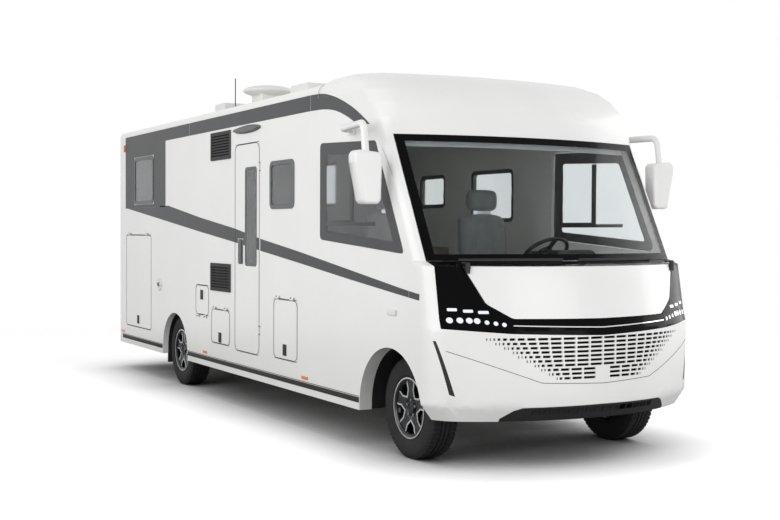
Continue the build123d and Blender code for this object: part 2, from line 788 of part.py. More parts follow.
def vents():
    """Louvred covers of the refrigerator's upper and lower vents."""
    covers = []
    for vent in VENTS:
        cover = plate_xz(vent.sketch(), -HALF - VENT_OUT, -HALF)
        wide = vent.x1 - vent.x0 - 2 * VENT_BORDER
        pitch = (vent.z1 - vent.z0 - 2 * VENT_BORDER) / SLATS
        for slat in range(SLATS):
            z = vent.z0 + VENT_BORDER + (slat + 0.5) * pitch
            slot = Pos(XF + (vent.x0 + vent.x1) / 2, z) * Rectangle(wide, pitch * 0.5)
            cover -= plate_xz(slot, -HALF - VENT_OUT, -HALF)
        covers.append(cover)
    return covers


# Running gear

def wheel_profile_tyre():
    """Half section of the tyre in (y, r): beads, bulged side walls, rounded shoulders and flat tread."""
    half = TYRE_W / 2
    bead = BEAD_R + BEARING
    shoulder = TYRE_R - 14
    seat_y = RIM_W / 2 - 14 - SEAM
    lip = (seat_y + 6, RIM_R + 1)
    right = [
        Line((seat_y, bead), lip),
        Line(lip, (half - 10, RIM_R + 12)),
        ThreePointArc((half - 10, RIM_R + 12), (half, (RIM_R + shoulder) / 2), (half - 8, shoulder - 10)),
        ThreePointArc((half - 8, shoulder - 10), (half - 16, TYRE_R - 8), (half - 32, TYRE_R - 2)),
        Line((half - 32, TYRE_R - 2), (0, TYRE_R)),
    ]
    left = [mirror(edge, about=Plane.YZ) for edge in right]
    base = Line((-seat_y, bead), (seat_y, bead))
    return make_face(right + left + [base])


def revolved_y(face):
    """Section in (y, r) turned about the wheel's axis, which is Y."""
    turned = revolve(Plane.YZ * face, Axis.Y)
    return turned


def tyre():
    """Tyre about the origin."""
    return revolved_y(wheel_profile_tyre())


def rim():
    """Five-spoke cast rim about the origin, its face towards +Y, with the hub bored for the stub axle."""
    half = RIM_W / 2
    barrel = make_face(Polyline(
        (-half, RIM_R), (-half + 8, RIM_R), (-half + 14, BEAD_R),
        (half - 14, BEAD_R), (half - 8, RIM_R), (half, RIM_R),
        (half, RIM_R - 10), (half - 10, BEAD_R - 9),
        (-half + 10, BEAD_R - 9), (-half, RIM_R - 10), close=True))
    disc = make_face(Polyline(
        (20, 0), (20, HUB_R), (52, HUB_R + 10), (62, BEAD_R - 6),
        (84, BEAD_R - 6), (78, HUB_R + 10), (66, HUB_R - 20),
        (66, 0), close=True))
    wheel = revolved_y(barrel) + revolved_y(disc)
    for spoke in range(SPOKES):
        angle = 360 / SPOKES * (spoke + 0.5)
        pane = make_face(Polyline((0, 92), (44, 126), (62, 176), (0, 192), (-62, 176), (-44, 126), close=True))
        pane = fillet(pane.vertices(), 8)
        wheel -= Rot(0, angle, 0) * plate_xz(pane, 0, RIM_W)
    bore = rod_y(0, 0, STUB_R + BEARING, 0, STUB_END + 2)
    return wheel - bore


def knuckle():
    """Left steering knuckle: king pin with its strut, upright, stub axle and steering arm."""
    pin = rod_z(XF, KINGPIN_Y, KINGPIN_R, KINGPIN_LOW, STRUT_TOP)
    half_l = UPRIGHT_L / 2
    half_t = UPRIGHT_T / 2
    across = (KINGPIN_Y - half_t, KINGPIN_Y + half_t)
    upright = block((XF - half_l, XF + half_l), across, (TYRE_R - 60, TYRE_R + 90))
    stub = rod_y(XF, TYRE_R, STUB_R, KINGPIN_Y, FRONT_WHEEL_Y + STUB_END)
    arm = block((XF - 180, XF - 40), (KINGPIN_Y - 20, KINGPIN_Y + 5), (TYRE_R - 55, TYRE_R - 30))
    return pin + upright + stub + arm


def front_subframe():
    """Cross member under the engine with its lower arms and strut towers."""
    outer = RAIL_Y + RAIL_W / 2
    frame = block((XF + SUBFRAME_X[0], XF + SUBFRAME_X[1]), (-outer, outer), SUBFRAME_Z)
    mouth = (XF + SUBFRAME_MOUTH_X[0], XF + SUBFRAME_MOUTH_X[1])
    frame -= block(mouth, (-SUBFRAME_MOUTH_Y, SUBFRAME_MOUTH_Y), (0, SUBFRAME_Z[1]))
    for side in (-1, 1):
        inner = side * (RAIL_Y - 60)
        eye = side * KINGPIN_Y
        arm = make_face(Polyline((XF - 200, inner), (XF - 30, eye), (XF + 30, eye), (XF + 120, inner), close=True))
        arm = plate_xy(arm, *ARM_Z) + rod_z(XF, eye, KINGPIN_R + 18, *ARM_Z)
        hanger = block((XF - 180, XF + 100), (inner - 40, inner + 40), (ARM_Z[0], SUBFRAME_Z[1]))
        post = block((XF - 45, XF + 45), (side * TOWER_Y[0], side * TOWER_Y[1]), (SUBFRAME_Z[0], TOWER_Z[1]))
        foot = block((XF - 45, XF + 45), (side * (outer - 20), side * TOWER_Y[1]), SUBFRAME_Z)
        shelf = block((XF - 30, XF + 30), (side * TOWER_Y[0], eye), TOWER_Z)
        shelf += rod_z(XF, eye, KINGPIN_R + 10, *TOWER_Z)
        frame += [arm, hanger, post, foot, shelf]
        frame -= rod_z(XF, eye, KINGPIN_R + BEARING, 0, STRUT_TOP + 50)
    return frame


def rear_axle():
    """Torsion tube under the rails with trailing arms and stub axles."""
    z = FLOOR_Z - RAIL_H - AXLE_TUBE_R - AXLE_DROP
    x = XR + AXLE_LEAD
    axle = rod_y(x, z, AXLE_TUBE_R, -ARM_Y[1], ARM_Y[1])
    for side in (-1, 1):
        arm = make_face(Polyline(
            (x + 50, z - 45), (x + 50, z + 40), (XR - 50, TYRE_R + 45), (XR - 50, TYRE_R - 45), close=True))
        low, high = sorted((side * ARM_Y[0], side * ARM_Y[1]))
        rail = (side * RAIL_Y - RAIL_W / 2, side * RAIL_Y + RAIL_W / 2)
        saddle = block((x - SADDLE_L / 2, x + SADDLE_L / 2), rail, (z, FLOOR_Z - RAIL_H))
        axle += [plate_xz(arm, low, high), saddle]
        axle += rod_y(XR, TYRE_R, STUB_R, side * ARM_Y[0], side * (REAR_WHEEL_Y + STUB_END))
    return axle


def chassis_frame():
    """Two long rails with cross members, jacking pads and the holes for a tow bar."""
    back = X_REAR + RAIL_BACK
    front = XF + RAIL_FRONT
    low = FLOOR_Z - RAIL_H
    rail_y = (RAIL_Y - RAIL_W / 2, RAIL_Y + RAIL_W / 2)
    rail = block((back, front), rail_y, (low, FLOOR_Z))
    for x in (XF + PAD_FRONT_X, XR + PAD_REAR_X):
        rail += block((x - PAD_L / 2, x + PAD_L / 2), rail_y, (low - PAD_T, low))
    frame = rail + mirror(rail, about=Plane.XZ)
    inner = rail_y[0] + 5
    for x in (back + 40, XR - 700, XR + 700, XR + 1900, XR + 3100, XF - 560, front - 40):
        run = (x - CROSS_W / 2, x + CROSS_W / 2)
        frame += block(run, (-inner, inner), (low + CROSS_INSET, FLOOR_Z - CROSS_INSET))
    for hole in (0, 1):
        frame -= rod_y(back + TOW_START + hole * TOW_PITCH, low + RAIL_H / 2, TOW_HOLE_R, -HALF, HALF)
    return frame


def floor():
    """Sandwich floor with its front bulkhead, notched round the wheel arches."""
    back = XF + BULKHEAD_X
    front = back + BULKHEAD_T
    slab = block((XF + TAIL_X, front), (-SIDE, SIDE), (FLOOR_Z, FLOOR_TOP))
    notch_y = REAR_LINER_Y - LINER
    rear_x = XR + REAR_ARCH_SHIFT
    reach = REAR_ARCH_R + LINER + SEAM
    for sign in (-1, 1):
        low, high = sorted((sign * notch_y, sign * HALF))
        slab -= block((rear_x - reach, rear_x + reach), (low, high), (FLOOR_Z - 1, FLOOR_TOP + 1))
        low, high = sorted((sign * CAB_FLOOR_Y, sign * HALF))
        slab -= block((XF - FRONT_ARCH_R - LINER - SEAM, XF + 200), (low, high), (FLOOR_Z - 1, FLOOR_TOP + 1))
    crown = FRONT_ARCH_Z + FRONT_ARCH_R + LINER + SEAM
    shield = block((back, front), (-CAB_FLOOR_Y, CAB_FLOOR_Y), (FLOOR_Z, BULKHEAD_TOP))
    shield += block((back, front), (-SIDE, SIDE), (crown, BULKHEAD_TOP))
    return slab + shield


def liner(x, z, radius, y0, y1, capped):
    """Half-round wheel housing between two values of y on the left, closed on its inner side where capped."""
    ring = Pos(x, z) * (Circle(radius + LINER) - Circle(radius))
    shell = plate_xz(ring, y0, y1)
    if capped:
        shell += plate_xz(Pos(x, z) * Circle(radius + LINER), y0, y0 + LINER)
    return shell & block((x - 1000, x + 1000), (y0, y1), (max(z - 40, SKIRT_Z), z + 1000))


def arch_liners():
    """Four wheel housings."""
    front = liner(XF, FRONT_ARCH_Z, FRONT_ARCH_R, FRONT_LINER_Y + SEAM, HALF - FRONT_LIP - SEAM, False)
    front -= block((XF, X_FRONT), (0, HALF), (0, LOW_LEVELS[1].z + SKIN))
    rear = liner(XR + REAR_ARCH_SHIFT, TYRE_R, REAR_ARCH_R, REAR_LINER_Y, HALF - REAR_LIP - SEAM, True)
    rear -= block((XR - STUB_NOTCH, XR + STUB_NOTCH), (0, REAR_LINER_Y + LINER + SEAM), (0, TYRE_R + STUB_NOTCH))
    return both_sides(front) + both_sides(rear)


def skirts():
    """Lower side mouldings between and behind the wheels, with the groove for their dark insert."""
    back = XR + REAR_ARCH_SHIFT
    runs = (
        (back + REAR_ARCH_R + SKIRT_GAP, XF - FRONT_ARCH_R - LINER - SEAM),
        (X_REAR + BUMPER_DEPTH + SEAM, back - REAR_ARCH_R - LINER - SEAM),
    )
    pieces = []
    for x0, x1 in runs:
        bar = block((x0, x1), (HALF - SKIRT_T, HALF), (SKIRT_Z, WALL_BOTTOM_Z - SEAM))
        bar -= block((x0 - 1, x1 + 1), (HALF - GROOVE_DEPTH, HALF + 1), GROOVE_Z)
        bar += block((x0, x1), (INNER - 60, HALF - SKIRT_T), (WALL_BOTTOM_Z - 30, WALL_BOTTOM_Z - SEAM))
        pieces += both_sides(bar)
    return pieces


def rear_bumper():
    """Moulded rear bumper under the back wall with pockets for the lamps."""
    bar = block((X_REAR, X_REAR + BUMPER_DEPTH), (-HALF, HALF), (SKIRT_Z, WALL_BOTTOM_Z - SEAM))
    bar = fillet(bar.edges().filter_by(Axis.Z).group_by(Axis.X)[0], EDGE_R)
    hollow = (X_REAR + 30, X_REAR + BUMPER_DEPTH + 5)
    return bar - block(hollow, (-HALF + 40, HALF - 40), (SKIRT_Z - 1, WALL_BOTTOM_Z - 30))


def rear_lamps(room=0.0):
    """Upright rear lamps and the high brake lamp, flush in the back wall; room makes their pockets."""
    lamps = []
    for lamp in REAR_LAMPS:
        lamps.append(plate_yz(lamp.sketch(room), X_REAR, X_REAR + LAMP_DEPTH + room))
    return lamps


def mud_flaps():
    """Rubber flaps on the back of the rear wheel housings."""
    x = XR + REAR_ARCH_SHIFT - REAR_ARCH_R - LINER - SEAM
    flap = block((x - FLAP_T, x), (FLAP_Y, HALF - REAR_LIP - SEAM), FLAP_Z)
    return both_sides(flap)


def awning_lamp():
    """Long oval lamp on the right wall over the entrance door."""
    spot = Pos(XF + AWNING_LAMP[0], AWNING_LAMP[1])
    wide, tall = AWNING_LAMP_HALF
    foot = Plane.XZ.offset(HALF) * (spot * Ellipse(wide, tall))
    face = Plane.XZ.offset(HALF + AWNING_LAMP_OUT) * (spot * Ellipse(wide * 0.9, tall * 0.6))
    return loft([foot, face], ruled=True)


def filler_cap():
    """Round water filler on the right wall with its grip bar."""
    x = XF + FILLER[0]
    cap = rod_y(x, FILLER[1], FILLER_R, -HALF - 8, -HALF)
    cap = chamfer(cap.edges().group_by(Axis.Y)[0], 4)
    reach = FILLER_R * 0.7
    return cap + block((x - reach, x + reach), (-HALF - 16, -HALF - 8), (FILLER[1] - 10, FILLER[1] + 10))


# Cabin

def dashboard():
    """Dashboard between the walls with its shelf up to the windscreen and the instrument hood."""
    base = LOW_LEVELS[-1]
    shelf = plate_xy(plan_face(base, 45, XF + 100), BELT_Z - 45, BELT_Z - 20)
    front = XF + DASH_DEPTH
    foot = (XF + BULKHEAD_X + BULKHEAD_T, BULKHEAD_TOP)
    side = make_face(Polyline(
        foot, (XF - 60, 1240), (XF - 40, 1400), (XF + 60, DASH_TOP),
        (front, BELT_Z - 20), (front, BULKHEAD_TOP), close=True))
    side = fillet(side.vertices().group_by(Axis.X)[0] + side.vertices().sort_by(Axis.Y)[-1:], 25)
    body = plate_xz(side, -SIDE, SIDE)
    hood = plate_xz(Pos(XF - 10, DASH_TOP - 5) * Ellipse(90, 60), *HOOD_Y)
    return body + shelf + hood


def seat(y):
    """Captain's seat on its pedestal: cushion, reclined back, head rest and arm rests."""
    x = XF + SEAT_X
    half = SEAT_W / 2
    base = Pos(x - 10, y, (FLOOR_TOP + CUSHION_Z[0]) / 2) * Box(*PEDESTAL, CUSHION_Z[0] - FLOOR_TOP)
    cushion = block((x + CUSHION_X[0], x + CUSHION_X[1]), (y - half, y + half), CUSHION_Z)
    cushion = fillet(cushion.edges().filter_by(Axis.Y), 50)
    foot = x + CUSHION_X[0] + 10
    low = CUSHION_Z[1] - 60
    crown = foot - RECLINE + 20
    back = make_face(Polyline(
        (foot, low), (foot + BACK_T + 20, low + 30), (crown + BACK_T, BACK_TOP), (crown, BACK_TOP), close=True))
    back = plate_xz(fillet(back.vertices().group_by(Axis.Y)[-1], 40), y - half + 10, y + half - 10)
    head_x = foot - RECLINE + 68
    deep, wide, tall = HEAD_REST
    head = plate_xz(Pos(head_x, HEAD_REST_Z) * RectangleRounded(deep, tall, 45), y - wide / 2, y + wide / 2)
    neck = block((head_x - 15, head_x + 15), (y - 90, y + 90), (BACK_TOP - 20, HEAD_REST_Z - tall / 2 + 15))
    solids = [base, cushion, back, head, neck]
    for side in (-1, 1):
        arm_y = y + side * ARM_REST_Y
        root_y = y + side * (half + 5)
        pad_z = (ARM_REST_Z - 30, ARM_REST_Z + 30)
        root_z = (ARM_REST_Z - 25, ARM_REST_Z + 25)
        solids.append(block((x - 240, x + 130), (arm_y - 30, arm_y + 30), pad_z))
        solids.append(block((x - 240, x - 150), (root_y - 30, root_y + 30), root_z))
    return solids[0] + solids[1:]


def steering_wheel():
    """Steering wheel leaning back on its column, which ends at the bulkhead."""
    x, y, z = WHEEL_AT
    plane = Plane(origin=(XF + x, y, z), x_dir=(0, 1, 0), z_dir=WHEEL_LEAN)
    reach = WHEEL_RING[0]
    ring = plane * Torus(*WHEEL_RING)
    hub = plane * Cylinder(60, 40)
    bars = plane * (Box(2 * reach, 36, 14) + Pos(0, -reach / 2, 0) * Box(36, reach, 14))
    column = plane * Pos(0, 0, -COLUMN_L / 2) * Cylinder(COLUMN_R, COLUMN_L)
    beyond = block((XF + BULKHEAD_X - SEAM, X_FRONT), (0, HALF), (FLOOR_Z, BELT_Z))
    return (ring + hub + bars + column) - beyond


def blind():
    """Roller blind's cassette above the windscreen, inside the cap."""
    level = cap_levels()[1]._replace(z=0)
    band = plan_face(level, WALL + SEAM, XF - 160) - plan_face(level, WALL + BLIND_T, XF - 170)
    cassette = plate_xy(band, BLIND_Z, SCREEN_TOP_Z - SEAM)
    return cassette & block((X_CAP, X_FRONT), (-BLIND_HALF, BLIND_HALF), (BLIND_Z, SCREEN_TOP_Z))


def cabinets():
    """Bed base, kitchen block and wardrobe seen through the windows."""
    return [block((XF + piece.x[0], XF + piece.x[1]), piece.y, piece.z) for piece in CABINETS]


def mirrors():
    """Hanging door mirrors: tapered housings on curved arms from the walls."""
    inner, outer = MIRROR_Y
    low, high = MIRROR_Z
    outline = make_face(Polyline(
        (inner, high - 20), (outer, high), (outer, high - 90),
        (outer - MIRROR_TAPER, low), (inner + 10, low), close=True))
    outline = fillet(outline.vertices(), MIRROR_R)
    housing = plate_yz(outline, XF - MIRROR_T / 2, XF + MIRROR_T / 2)
    housing = fillet(housing.edges().group_by(Axis.X)[-1], MIRROR_R / 2)
    middle = (inner + outer) / 2
    foot_x, foot_z = XF + MIRROR_FOOT[0], MIRROR_FOOT[1]
    path = FilletPolyline(
        (foot_x, HALF + SEAM, foot_z), (foot_x, inner, foot_z), (XF - 40, middle, foot_z),
        (XF, middle, high - 60), radius=MIRROR_BEND)
    arm = sweep(Plane(origin=path @ 0, z_dir=path % 0) * Circle(MIRROR_ARM_R), path)
    foot = plate_xz(Pos(foot_x, foot_z) * RectangleRounded(130, 84, 20), HALF + SEAM, HALF + 10)
    return both_sides(housing + arm + foot)


def roof_units():
    """Roof lights, low aerial dome and whip on the coach roof."""
    units = []
    for x, y, wide in ROOF_LIGHTS:
        lid = Pos(XF + x, y, ROOF_Z + ROOF_LIGHT_H / 2) * Box(wide, ROOF_LIGHT_W, ROOF_LIGHT_H)
        units.append(fillet(lid.edges().group_by(Axis.Z)[-1], 30))
    dome = rod_z(XF + DOME[0], DOME[1], DOME_R, ROOF_Z, ROOF_Z + DOME_H)
    units.append(fillet(dome.edges().group_by(Axis.Z)[-1], 25))
    x = XF + WHIP[0]
    whip = rod_z(x, WHIP[1], 6 * WHIP_R, ROOF_Z, ROOF_Z + 30)
    units.append(whip + rod_z(x, WHIP[1], WHIP_R, ROOF_Z, ROOF_Z + WHIP_H))
    return units


def marker_lamps():
    """Side marker lamps on the lower edge of both walls."""
    wide, out, tall = MARKER
    lamps = []
    for x in MARKER_X:
        run = (XF + x - wide / 2, XF + x + wide / 2)
        lens = block(run, (HALF, HALF + out), (MARKER_Z - tall / 2, MARKER_Z + tall / 2))
        lamps += both_sides(lens)
    return lamps


def wipers():
    """Two wiper blades lying along the foot of the windscreen."""
    base = LOW_LEVELS[-1]
    ring = plan_face(base, -WIPER_T - 2) - plan_face(base, -2)
    blade = plate_xy(ring, BELT_Z, BELT_Z + WIPER_H)
    return [blade & block((XF, X_FRONT), run, (BELT_Z, BELT_Z + WIPER_H)) for run in WIPER_RUNS]


def step():
    """Entrance step folded away under the door."""
    run = (XF + STEP_X[0], XF + STEP_X[1])
    tray = block(run, (-HALF + 40, -INNER + 330), STEP_Z)
    return tray + block(run, (-HALF + 200, -INNER + 330), (STEP_Z[0], FLOOR_Z))


def engine_block():
    """Engine and gearbox as one plain mass on the subframe."""
    return block((XF + ENGINE_X[0], XF + ENGINE_X[1]), (-ENGINE_HALF, ENGINE_HALF), (SUBFRAME_Z[1], ENGINE_TOP))


def tanks():
    """Fuel tank and waste tank under the floor."""
    bodies = [block((XF + x[0], XF + x[1]), y, (TANK_Z, FLOOR_Z)) for x, y in (FUEL_TANK, WASTE_TANK)]
    return [fillet(tank.edges().group_by(Axis.Z)[0], 40) for tank in bodies]


def write(name, *solids):
    """Write one node from its solids."""
    flat = []
    for piece in solids:
        flat += piece if isinstance(piece, list) else [piece]
    children = [solid for piece in flat for solid in piece.solids()]
    shape = children[0] if len(children) == 1 else Compound(children=children)
    shape.label = name
    export_step(shape, f"parts/{name}.step")


def build_shells():
    """Write every panel of the body."""
    coach = coach_shell()
    upper = upper_shell()
    walls = side_walls(coach, upper)
    write("side_wall_right", walls[-1])
    write("side_wall_left", walls[1])
    write("rear_wall", rear_wall(coach))
    write("roof", roof(coach))
    write("front_cap", front_cap(upper))
    write("windscreen", windscreen())
    panels = nose_panels(low_shell())
    pins, knuckles = bonnet_hinges()
    write("lamp_mask", panels["mask"] + pins)
    write("front_bumper", panels["bumper"])
    write("grille", perforated(panels["grille"]))
    write("lower_intake", panels["intake"])
    write("headlamps", panels["lamps"])
    write("bonnet", panels["bonnet"] + knuckles)


def bonnet_hinges():
    """Pins on the mask and knuckles on the bonnet, at the bonnet's top corners."""
    pins = []
    knuckles = []
    x = XF + BONNET_PIN_X
    z = BONNET_PIN_Z
    for side in (-1, 1):
        middle = side * BONNET_PIN_Y
        low, high = sorted((middle - side * 15, middle + side * 60))
        pin = rod_y(x, z, PIN_R, low, high)
        low, high = sorted((middle + side * 34, middle + side * 60))
        pins += [pin, block((x - 7, x + 7), (low, high), (z - 40, z + 6))]
        tube = rod_y(x, z, KNUCKLE_R, middle - 15, middle + 15)
        leaf = block((x, x + 64), (middle - 15, middle + 15), (z - 5, z + 4))
        toe = block((x + 48, x + 64), (middle - 15, middle + 15), (z - 70, z + 4))
        knuckles.append((tube + leaf + toe) - rod_y(x, z, PIN_R + BEARING, middle - 40, middle + 40))
    return pins, knuckles


def build_openings():
    """Write the windows, doors, hatches and their pins."""
    frames = []
    panes = []
    for lights, side in ((WINDOWS_RIGHT, -1), (WINDOWS_LEFT, 1)):
        some_frames, some_panes = window_set(lights, side)
        frames += some_frames
        panes += some_panes
    write("window_frames", frames)
    write("window_panes", panes)
    write("cab_side_glass", both_sides(plate_xz(cab_light(SEAM), HALF - PANE, HALF)))
    pins = []
    for lid in LIDS:
        panel, some_pins = lid_panel(lid)
        pins += some_pins
        name = lid.opening.name
        if lid.opening is DOOR:
            panel, trim, pane = entrance_door(panel)
            write("door_trim", trim)
            write("door_pane", pane)
        else:
            x, z = lid.latch
            low, high = sorted((lid.side * HALF, lid.side * (HALF + LATCH_OUT)))
            grip = Pos(XF + x, z) * RectangleRounded(*LATCH, 12)
            panel += plate_xz(grip, low, high)
        if lid.opening is GARAGE:
            name += "_right" if lid.side < 0 else "_left"
        write(name, panel)
    write("hinge_pins", pins)
    write("fridge_vents", vents())


def build_running_gear():
    """Write wheels, knuckles, axles and frame."""
    tread = tyre()
    face = rim()
    for name, x, y in (("front", XF, FRONT_WHEEL_Y), ("rear", XR, REAR_WHEEL_Y)):
        for side, sign in (("right", -1), ("left", 1)):
            spot = Pos(x, sign * y, TYRE_R)
            outward = Rot(0, 0, 0) if sign > 0 else Rot(0, 0, 180)
            write(f"tyre_{name}_{side}", spot * tread)
            write(f"rim_{name}_{side}", spot * outward * face)
    left = knuckle()
    write("knuckle_left", left)
    write("knuckle_right", mirror(left, about=Plane.XZ))
    write("front_subframe", front_subframe())
    write("rear_axle", rear_axle())
    write("chassis_frame", chassis_frame())
    write("floor", floor())
    write("arch_liners", arch_liners())
    write("skirts", skirts())
    write("rear_bumper", rear_bumper())
    write("engine_block", engine_block())
    write("tanks", tanks())
    write("entry_step", step())


def build_fittings():
    """Write the cabin's fittings and what stands on the outside."""
    write("dashboard", dashboard())
    write("seats", seat(-SEAT_Y), seat(SEAT_Y))
    write("steering_wheel", steering_wheel())
    write("screen_blind", blind())
    write("cabinets", cabinets())
    write("mirrors", mirrors())
    write("roof_units", roof_units())
    write("marker_lamps", marker_lamps())
    write("rear_lamps", rear_lamps())
    write("wipers", wipers())
    write("mud_flaps", mud_flaps())
    write("awning_lamp", awning_lamp())
    write("filler_cap", filler_cap())


if __name__ == "__main__":
    os.makedirs("parts", exist_ok=True)
    build_running_gear()
    build_fittings()
    build_openings()
    build_shells()
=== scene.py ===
"""Looks of the white motorhome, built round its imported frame: finishes, films, wheels, seats and trim."""

import logging
import math
from contextlib import contextmanager
from dataclasses import dataclass, field
from enum import Enum
from typing import Callable, Iterator, Sequence

import bpy
from mathutils import Matrix, Vector

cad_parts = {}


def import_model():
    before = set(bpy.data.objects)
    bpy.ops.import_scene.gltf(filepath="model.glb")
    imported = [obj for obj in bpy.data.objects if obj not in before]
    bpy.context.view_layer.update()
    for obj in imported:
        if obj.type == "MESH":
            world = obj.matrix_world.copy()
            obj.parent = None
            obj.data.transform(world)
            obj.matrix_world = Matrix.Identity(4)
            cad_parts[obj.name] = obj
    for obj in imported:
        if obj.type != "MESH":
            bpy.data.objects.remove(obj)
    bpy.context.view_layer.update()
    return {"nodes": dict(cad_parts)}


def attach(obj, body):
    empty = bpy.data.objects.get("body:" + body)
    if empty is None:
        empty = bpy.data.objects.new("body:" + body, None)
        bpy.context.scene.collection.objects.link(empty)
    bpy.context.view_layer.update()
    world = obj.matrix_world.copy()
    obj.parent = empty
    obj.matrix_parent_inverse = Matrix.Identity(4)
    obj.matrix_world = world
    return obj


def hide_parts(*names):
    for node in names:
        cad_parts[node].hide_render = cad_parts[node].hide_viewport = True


LOG = logging.getLogger("motorhome")

Point2 = tuple[float, float]
Point3 = tuple[float, float, float]
Piece = bpy.types.Object
# Two runs and two heights: x0, x1, z0 and z1
Box2 = tuple[float, float, float, float]

# Driving dimensions in metres, in the frame's own axes
MM = 0.001
HALF = 1.150
FRONT_AXLE = 2.925
REAR_AXLE = -1.835
WALL_FRONT = 3.205
HUB_Z = 0.365
FRONT_WHEEL_Y = 0.890
REAR_WHEEL_Y = 0.962
# Thickness of a film and its gap over the panel, and the gap under thicker trim
FILM = 0.5 * MM
FILM_LIFT = 0.8 * MM
TRIM_GAP = 0.4 * MM
# Planes outside the vehicle that sheets are pressed on from
SIDE_CLEAR = HALF + 0.2
NOSE_CLEAR = FRONT_AXLE + 1.2
# Turn that sets a round primitive's axis along the axle, facing left
FACING_LEFT = (-math.pi / 2, 0, 0)


def linear(code: str) -> tuple[float, float, float, float]:
    """Turn an sRGB hex colour into linear light.

    Args:
        code: colour such as "#e8e8e6".

    Returns:
        Linear red, green, blue and alpha.
    """
    channels = []
    for start in (1, 3, 5):
        value = int(code[start:start + 2], 16) / 255
        channels.append(value / 12.92 if value <= 0.04045 else ((value + 0.055) / 1.055) ** 2.4)
    return (*channels, 1.0)


def fresh_tree(owner: bpy.types.Material | bpy.types.World) -> bpy.types.NodeTree:
    """Empty the node tree of a material or a world.

    Args:
        owner: the material or world.

    Returns:
        Its node tree.
    """
    owner.use_nodes = True
    owner.node_tree.nodes.clear()
    return owner.node_tree


def add_node(tree: bpy.types.NodeTree, kind: str, values: dict | None = None, links: dict | None = None,
             **settings: object) -> bpy.types.Node:
    """Add a shader node with its settings, socket values and links.

    Args:
        tree: node tree that gets the node.
        kind: node type name.
        values: value for each input socket, by its name or number.
        links: (node, output name) for each input socket, by its name or number.
        settings: properties of the node itself.

    Returns:
        The new node.
    """
    node = tree.nodes.new(kind)
    for name, value in settings.items():
        setattr(node, name, value)
    for socket, value in (values or {}).items():
        node.inputs[socket].default_value = value
    for socket, (source, output) in (links or {}).items():
        tree.links.new(source.outputs[output], node.inputs[socket])
    return node


class Grain(Enum):
    """How a surface is broken up at close range."""

    PEEL = "soft waves of a sprayed or moulded gloss"
    PEBBLE = "rounded cells of a moulded grain"
    CAST = "rough pits of a casting"
    BRUSH = "long fine scratches"
    WEAVE = "crossing threads"
    FACET = "flat facets of lamp optics"


@dataclass(frozen=True)
class Finish:
    """One real material: its colours, gloss and the grain of its surface."""

    name: str
    tone: str
    shade: str
    roughness: float
    grain: Grain
    grain_mm: float
    depth_mm: float
    metallic: float = 0.0
    ior: float = 1.5
    coat: float = 0.0
    transmission: float = 0.0
    sheen: float = 0.0
    glow: float = 0.0
    specular: float = 0.5
    patch_mm: float = 600.0

    def height(self, tree: bpy.types.NodeTree, place: bpy.types.Node) -> tuple[bpy.types.Node, str]:
        """Build the texture that raises the grain.

        Args:
            tree: node tree of the material.
            place: texture coordinate node.

        Returns:
            The last node of the texture and its output's name.
        """
        spot = {"Vector": (place, "Object")}
        scale = 1000 / self.grain_mm
        if self.grain in (Grain.PEBBLE, Grain.FACET):
            cells = add_node(tree, "ShaderNodeTexVoronoi", {"Scale": scale}, spot)
            return cells, "Distance" if self.grain is Grain.PEBBLE else "Color"
        if self.grain is Grain.BRUSH:
            drawn = add_node(tree, "ShaderNodeMapping", {"Scale": (0.03, 1.0, 1.0)}, spot)
            streak = {"Vector": (drawn, "Vector")}
            return add_node(tree, "ShaderNodeTexNoise", {"Scale": scale}, streak), "Fac"
        if self.grain is Grain.WEAVE:
            # A wave texture has 20 / (2 pi) bands to the unit at scale 1
            band = 2 * math.pi / 20 * scale
            warp, weft = (add_node(tree, "ShaderNodeTexWave", {"Scale": band}, spot, bands_direction=axis)
                          for axis in ("Y", "Z"))
            return add_node(tree, "ShaderNodeMath", None, {0: (warp, "Fac"), 1: (weft, "Fac")},
                            operation="MAXIMUM"), "Value"
        detail = 6.0 if self.grain is Grain.CAST else 1.0
        return add_node(tree, "ShaderNodeTexNoise", {"Scale": scale, "Detail": detail}, spot), "Fac"

    def build(self) -> bpy.types.Material:
        """Make the material with its own node tree.

        Returns:
            The material.
        """
        material = bpy.data.materials.new(self.name)
        tree = fresh_tree(material)
        place = add_node(tree, "ShaderNodeTexCoord")
        patches = add_node(tree, "ShaderNodeTexNoise", {"Scale": 1000 / self.patch_mm, "Detail": 3.0},
                           {"Vector": (place, "Object")})
        tones = add_node(tree, "ShaderNodeValToRGB", None, {"Fac": (patches, "Fac")})
        for stop, position, colour in zip(tones.color_ramp.elements, (0.35, 0.65), (self.shade, self.tone)):
            stop.position = position
            stop.color = linear(colour)
        bump = add_node(tree, "ShaderNodeBump", {"Strength": 0.6, "Distance": self.depth_mm * MM},
                        {"Height": self.height(tree, place)})
        values = {
            "Roughness": self.roughness,
            "Metallic": self.metallic,
            "IOR": self.ior,
            "Specular IOR Level": self.specular,
            "Coat Weight": self.coat,
            "Coat Roughness": 0.04,
            "Transmission Weight": self.transmission,
            "Sheen Weight": self.sheen,
            "Emission Strength": self.glow,
        }
        links = {"Base Color": (tones, "Color"), "Normal": (bump, "Normal")}
        if self.glow > 0:
            links["Emission Color"] = (tones, "Color")
        shader = add_node(tree, "ShaderNodeBsdfPrincipled", values, links)
        add_node(tree, "ShaderNodeOutputMaterial", None, {"Surface": (shader, "BSDF")})
        return material


# Gel-coated and painted sheet: clean white gloss with faint waves and hardly any change of tone
WHITE_SHEET = Finish("white_gelcoat_sheet", "#f1f1ef", "#eeeeec", 0.28, Grain.PEEL, 14.0, 0.05, coat=0.3)
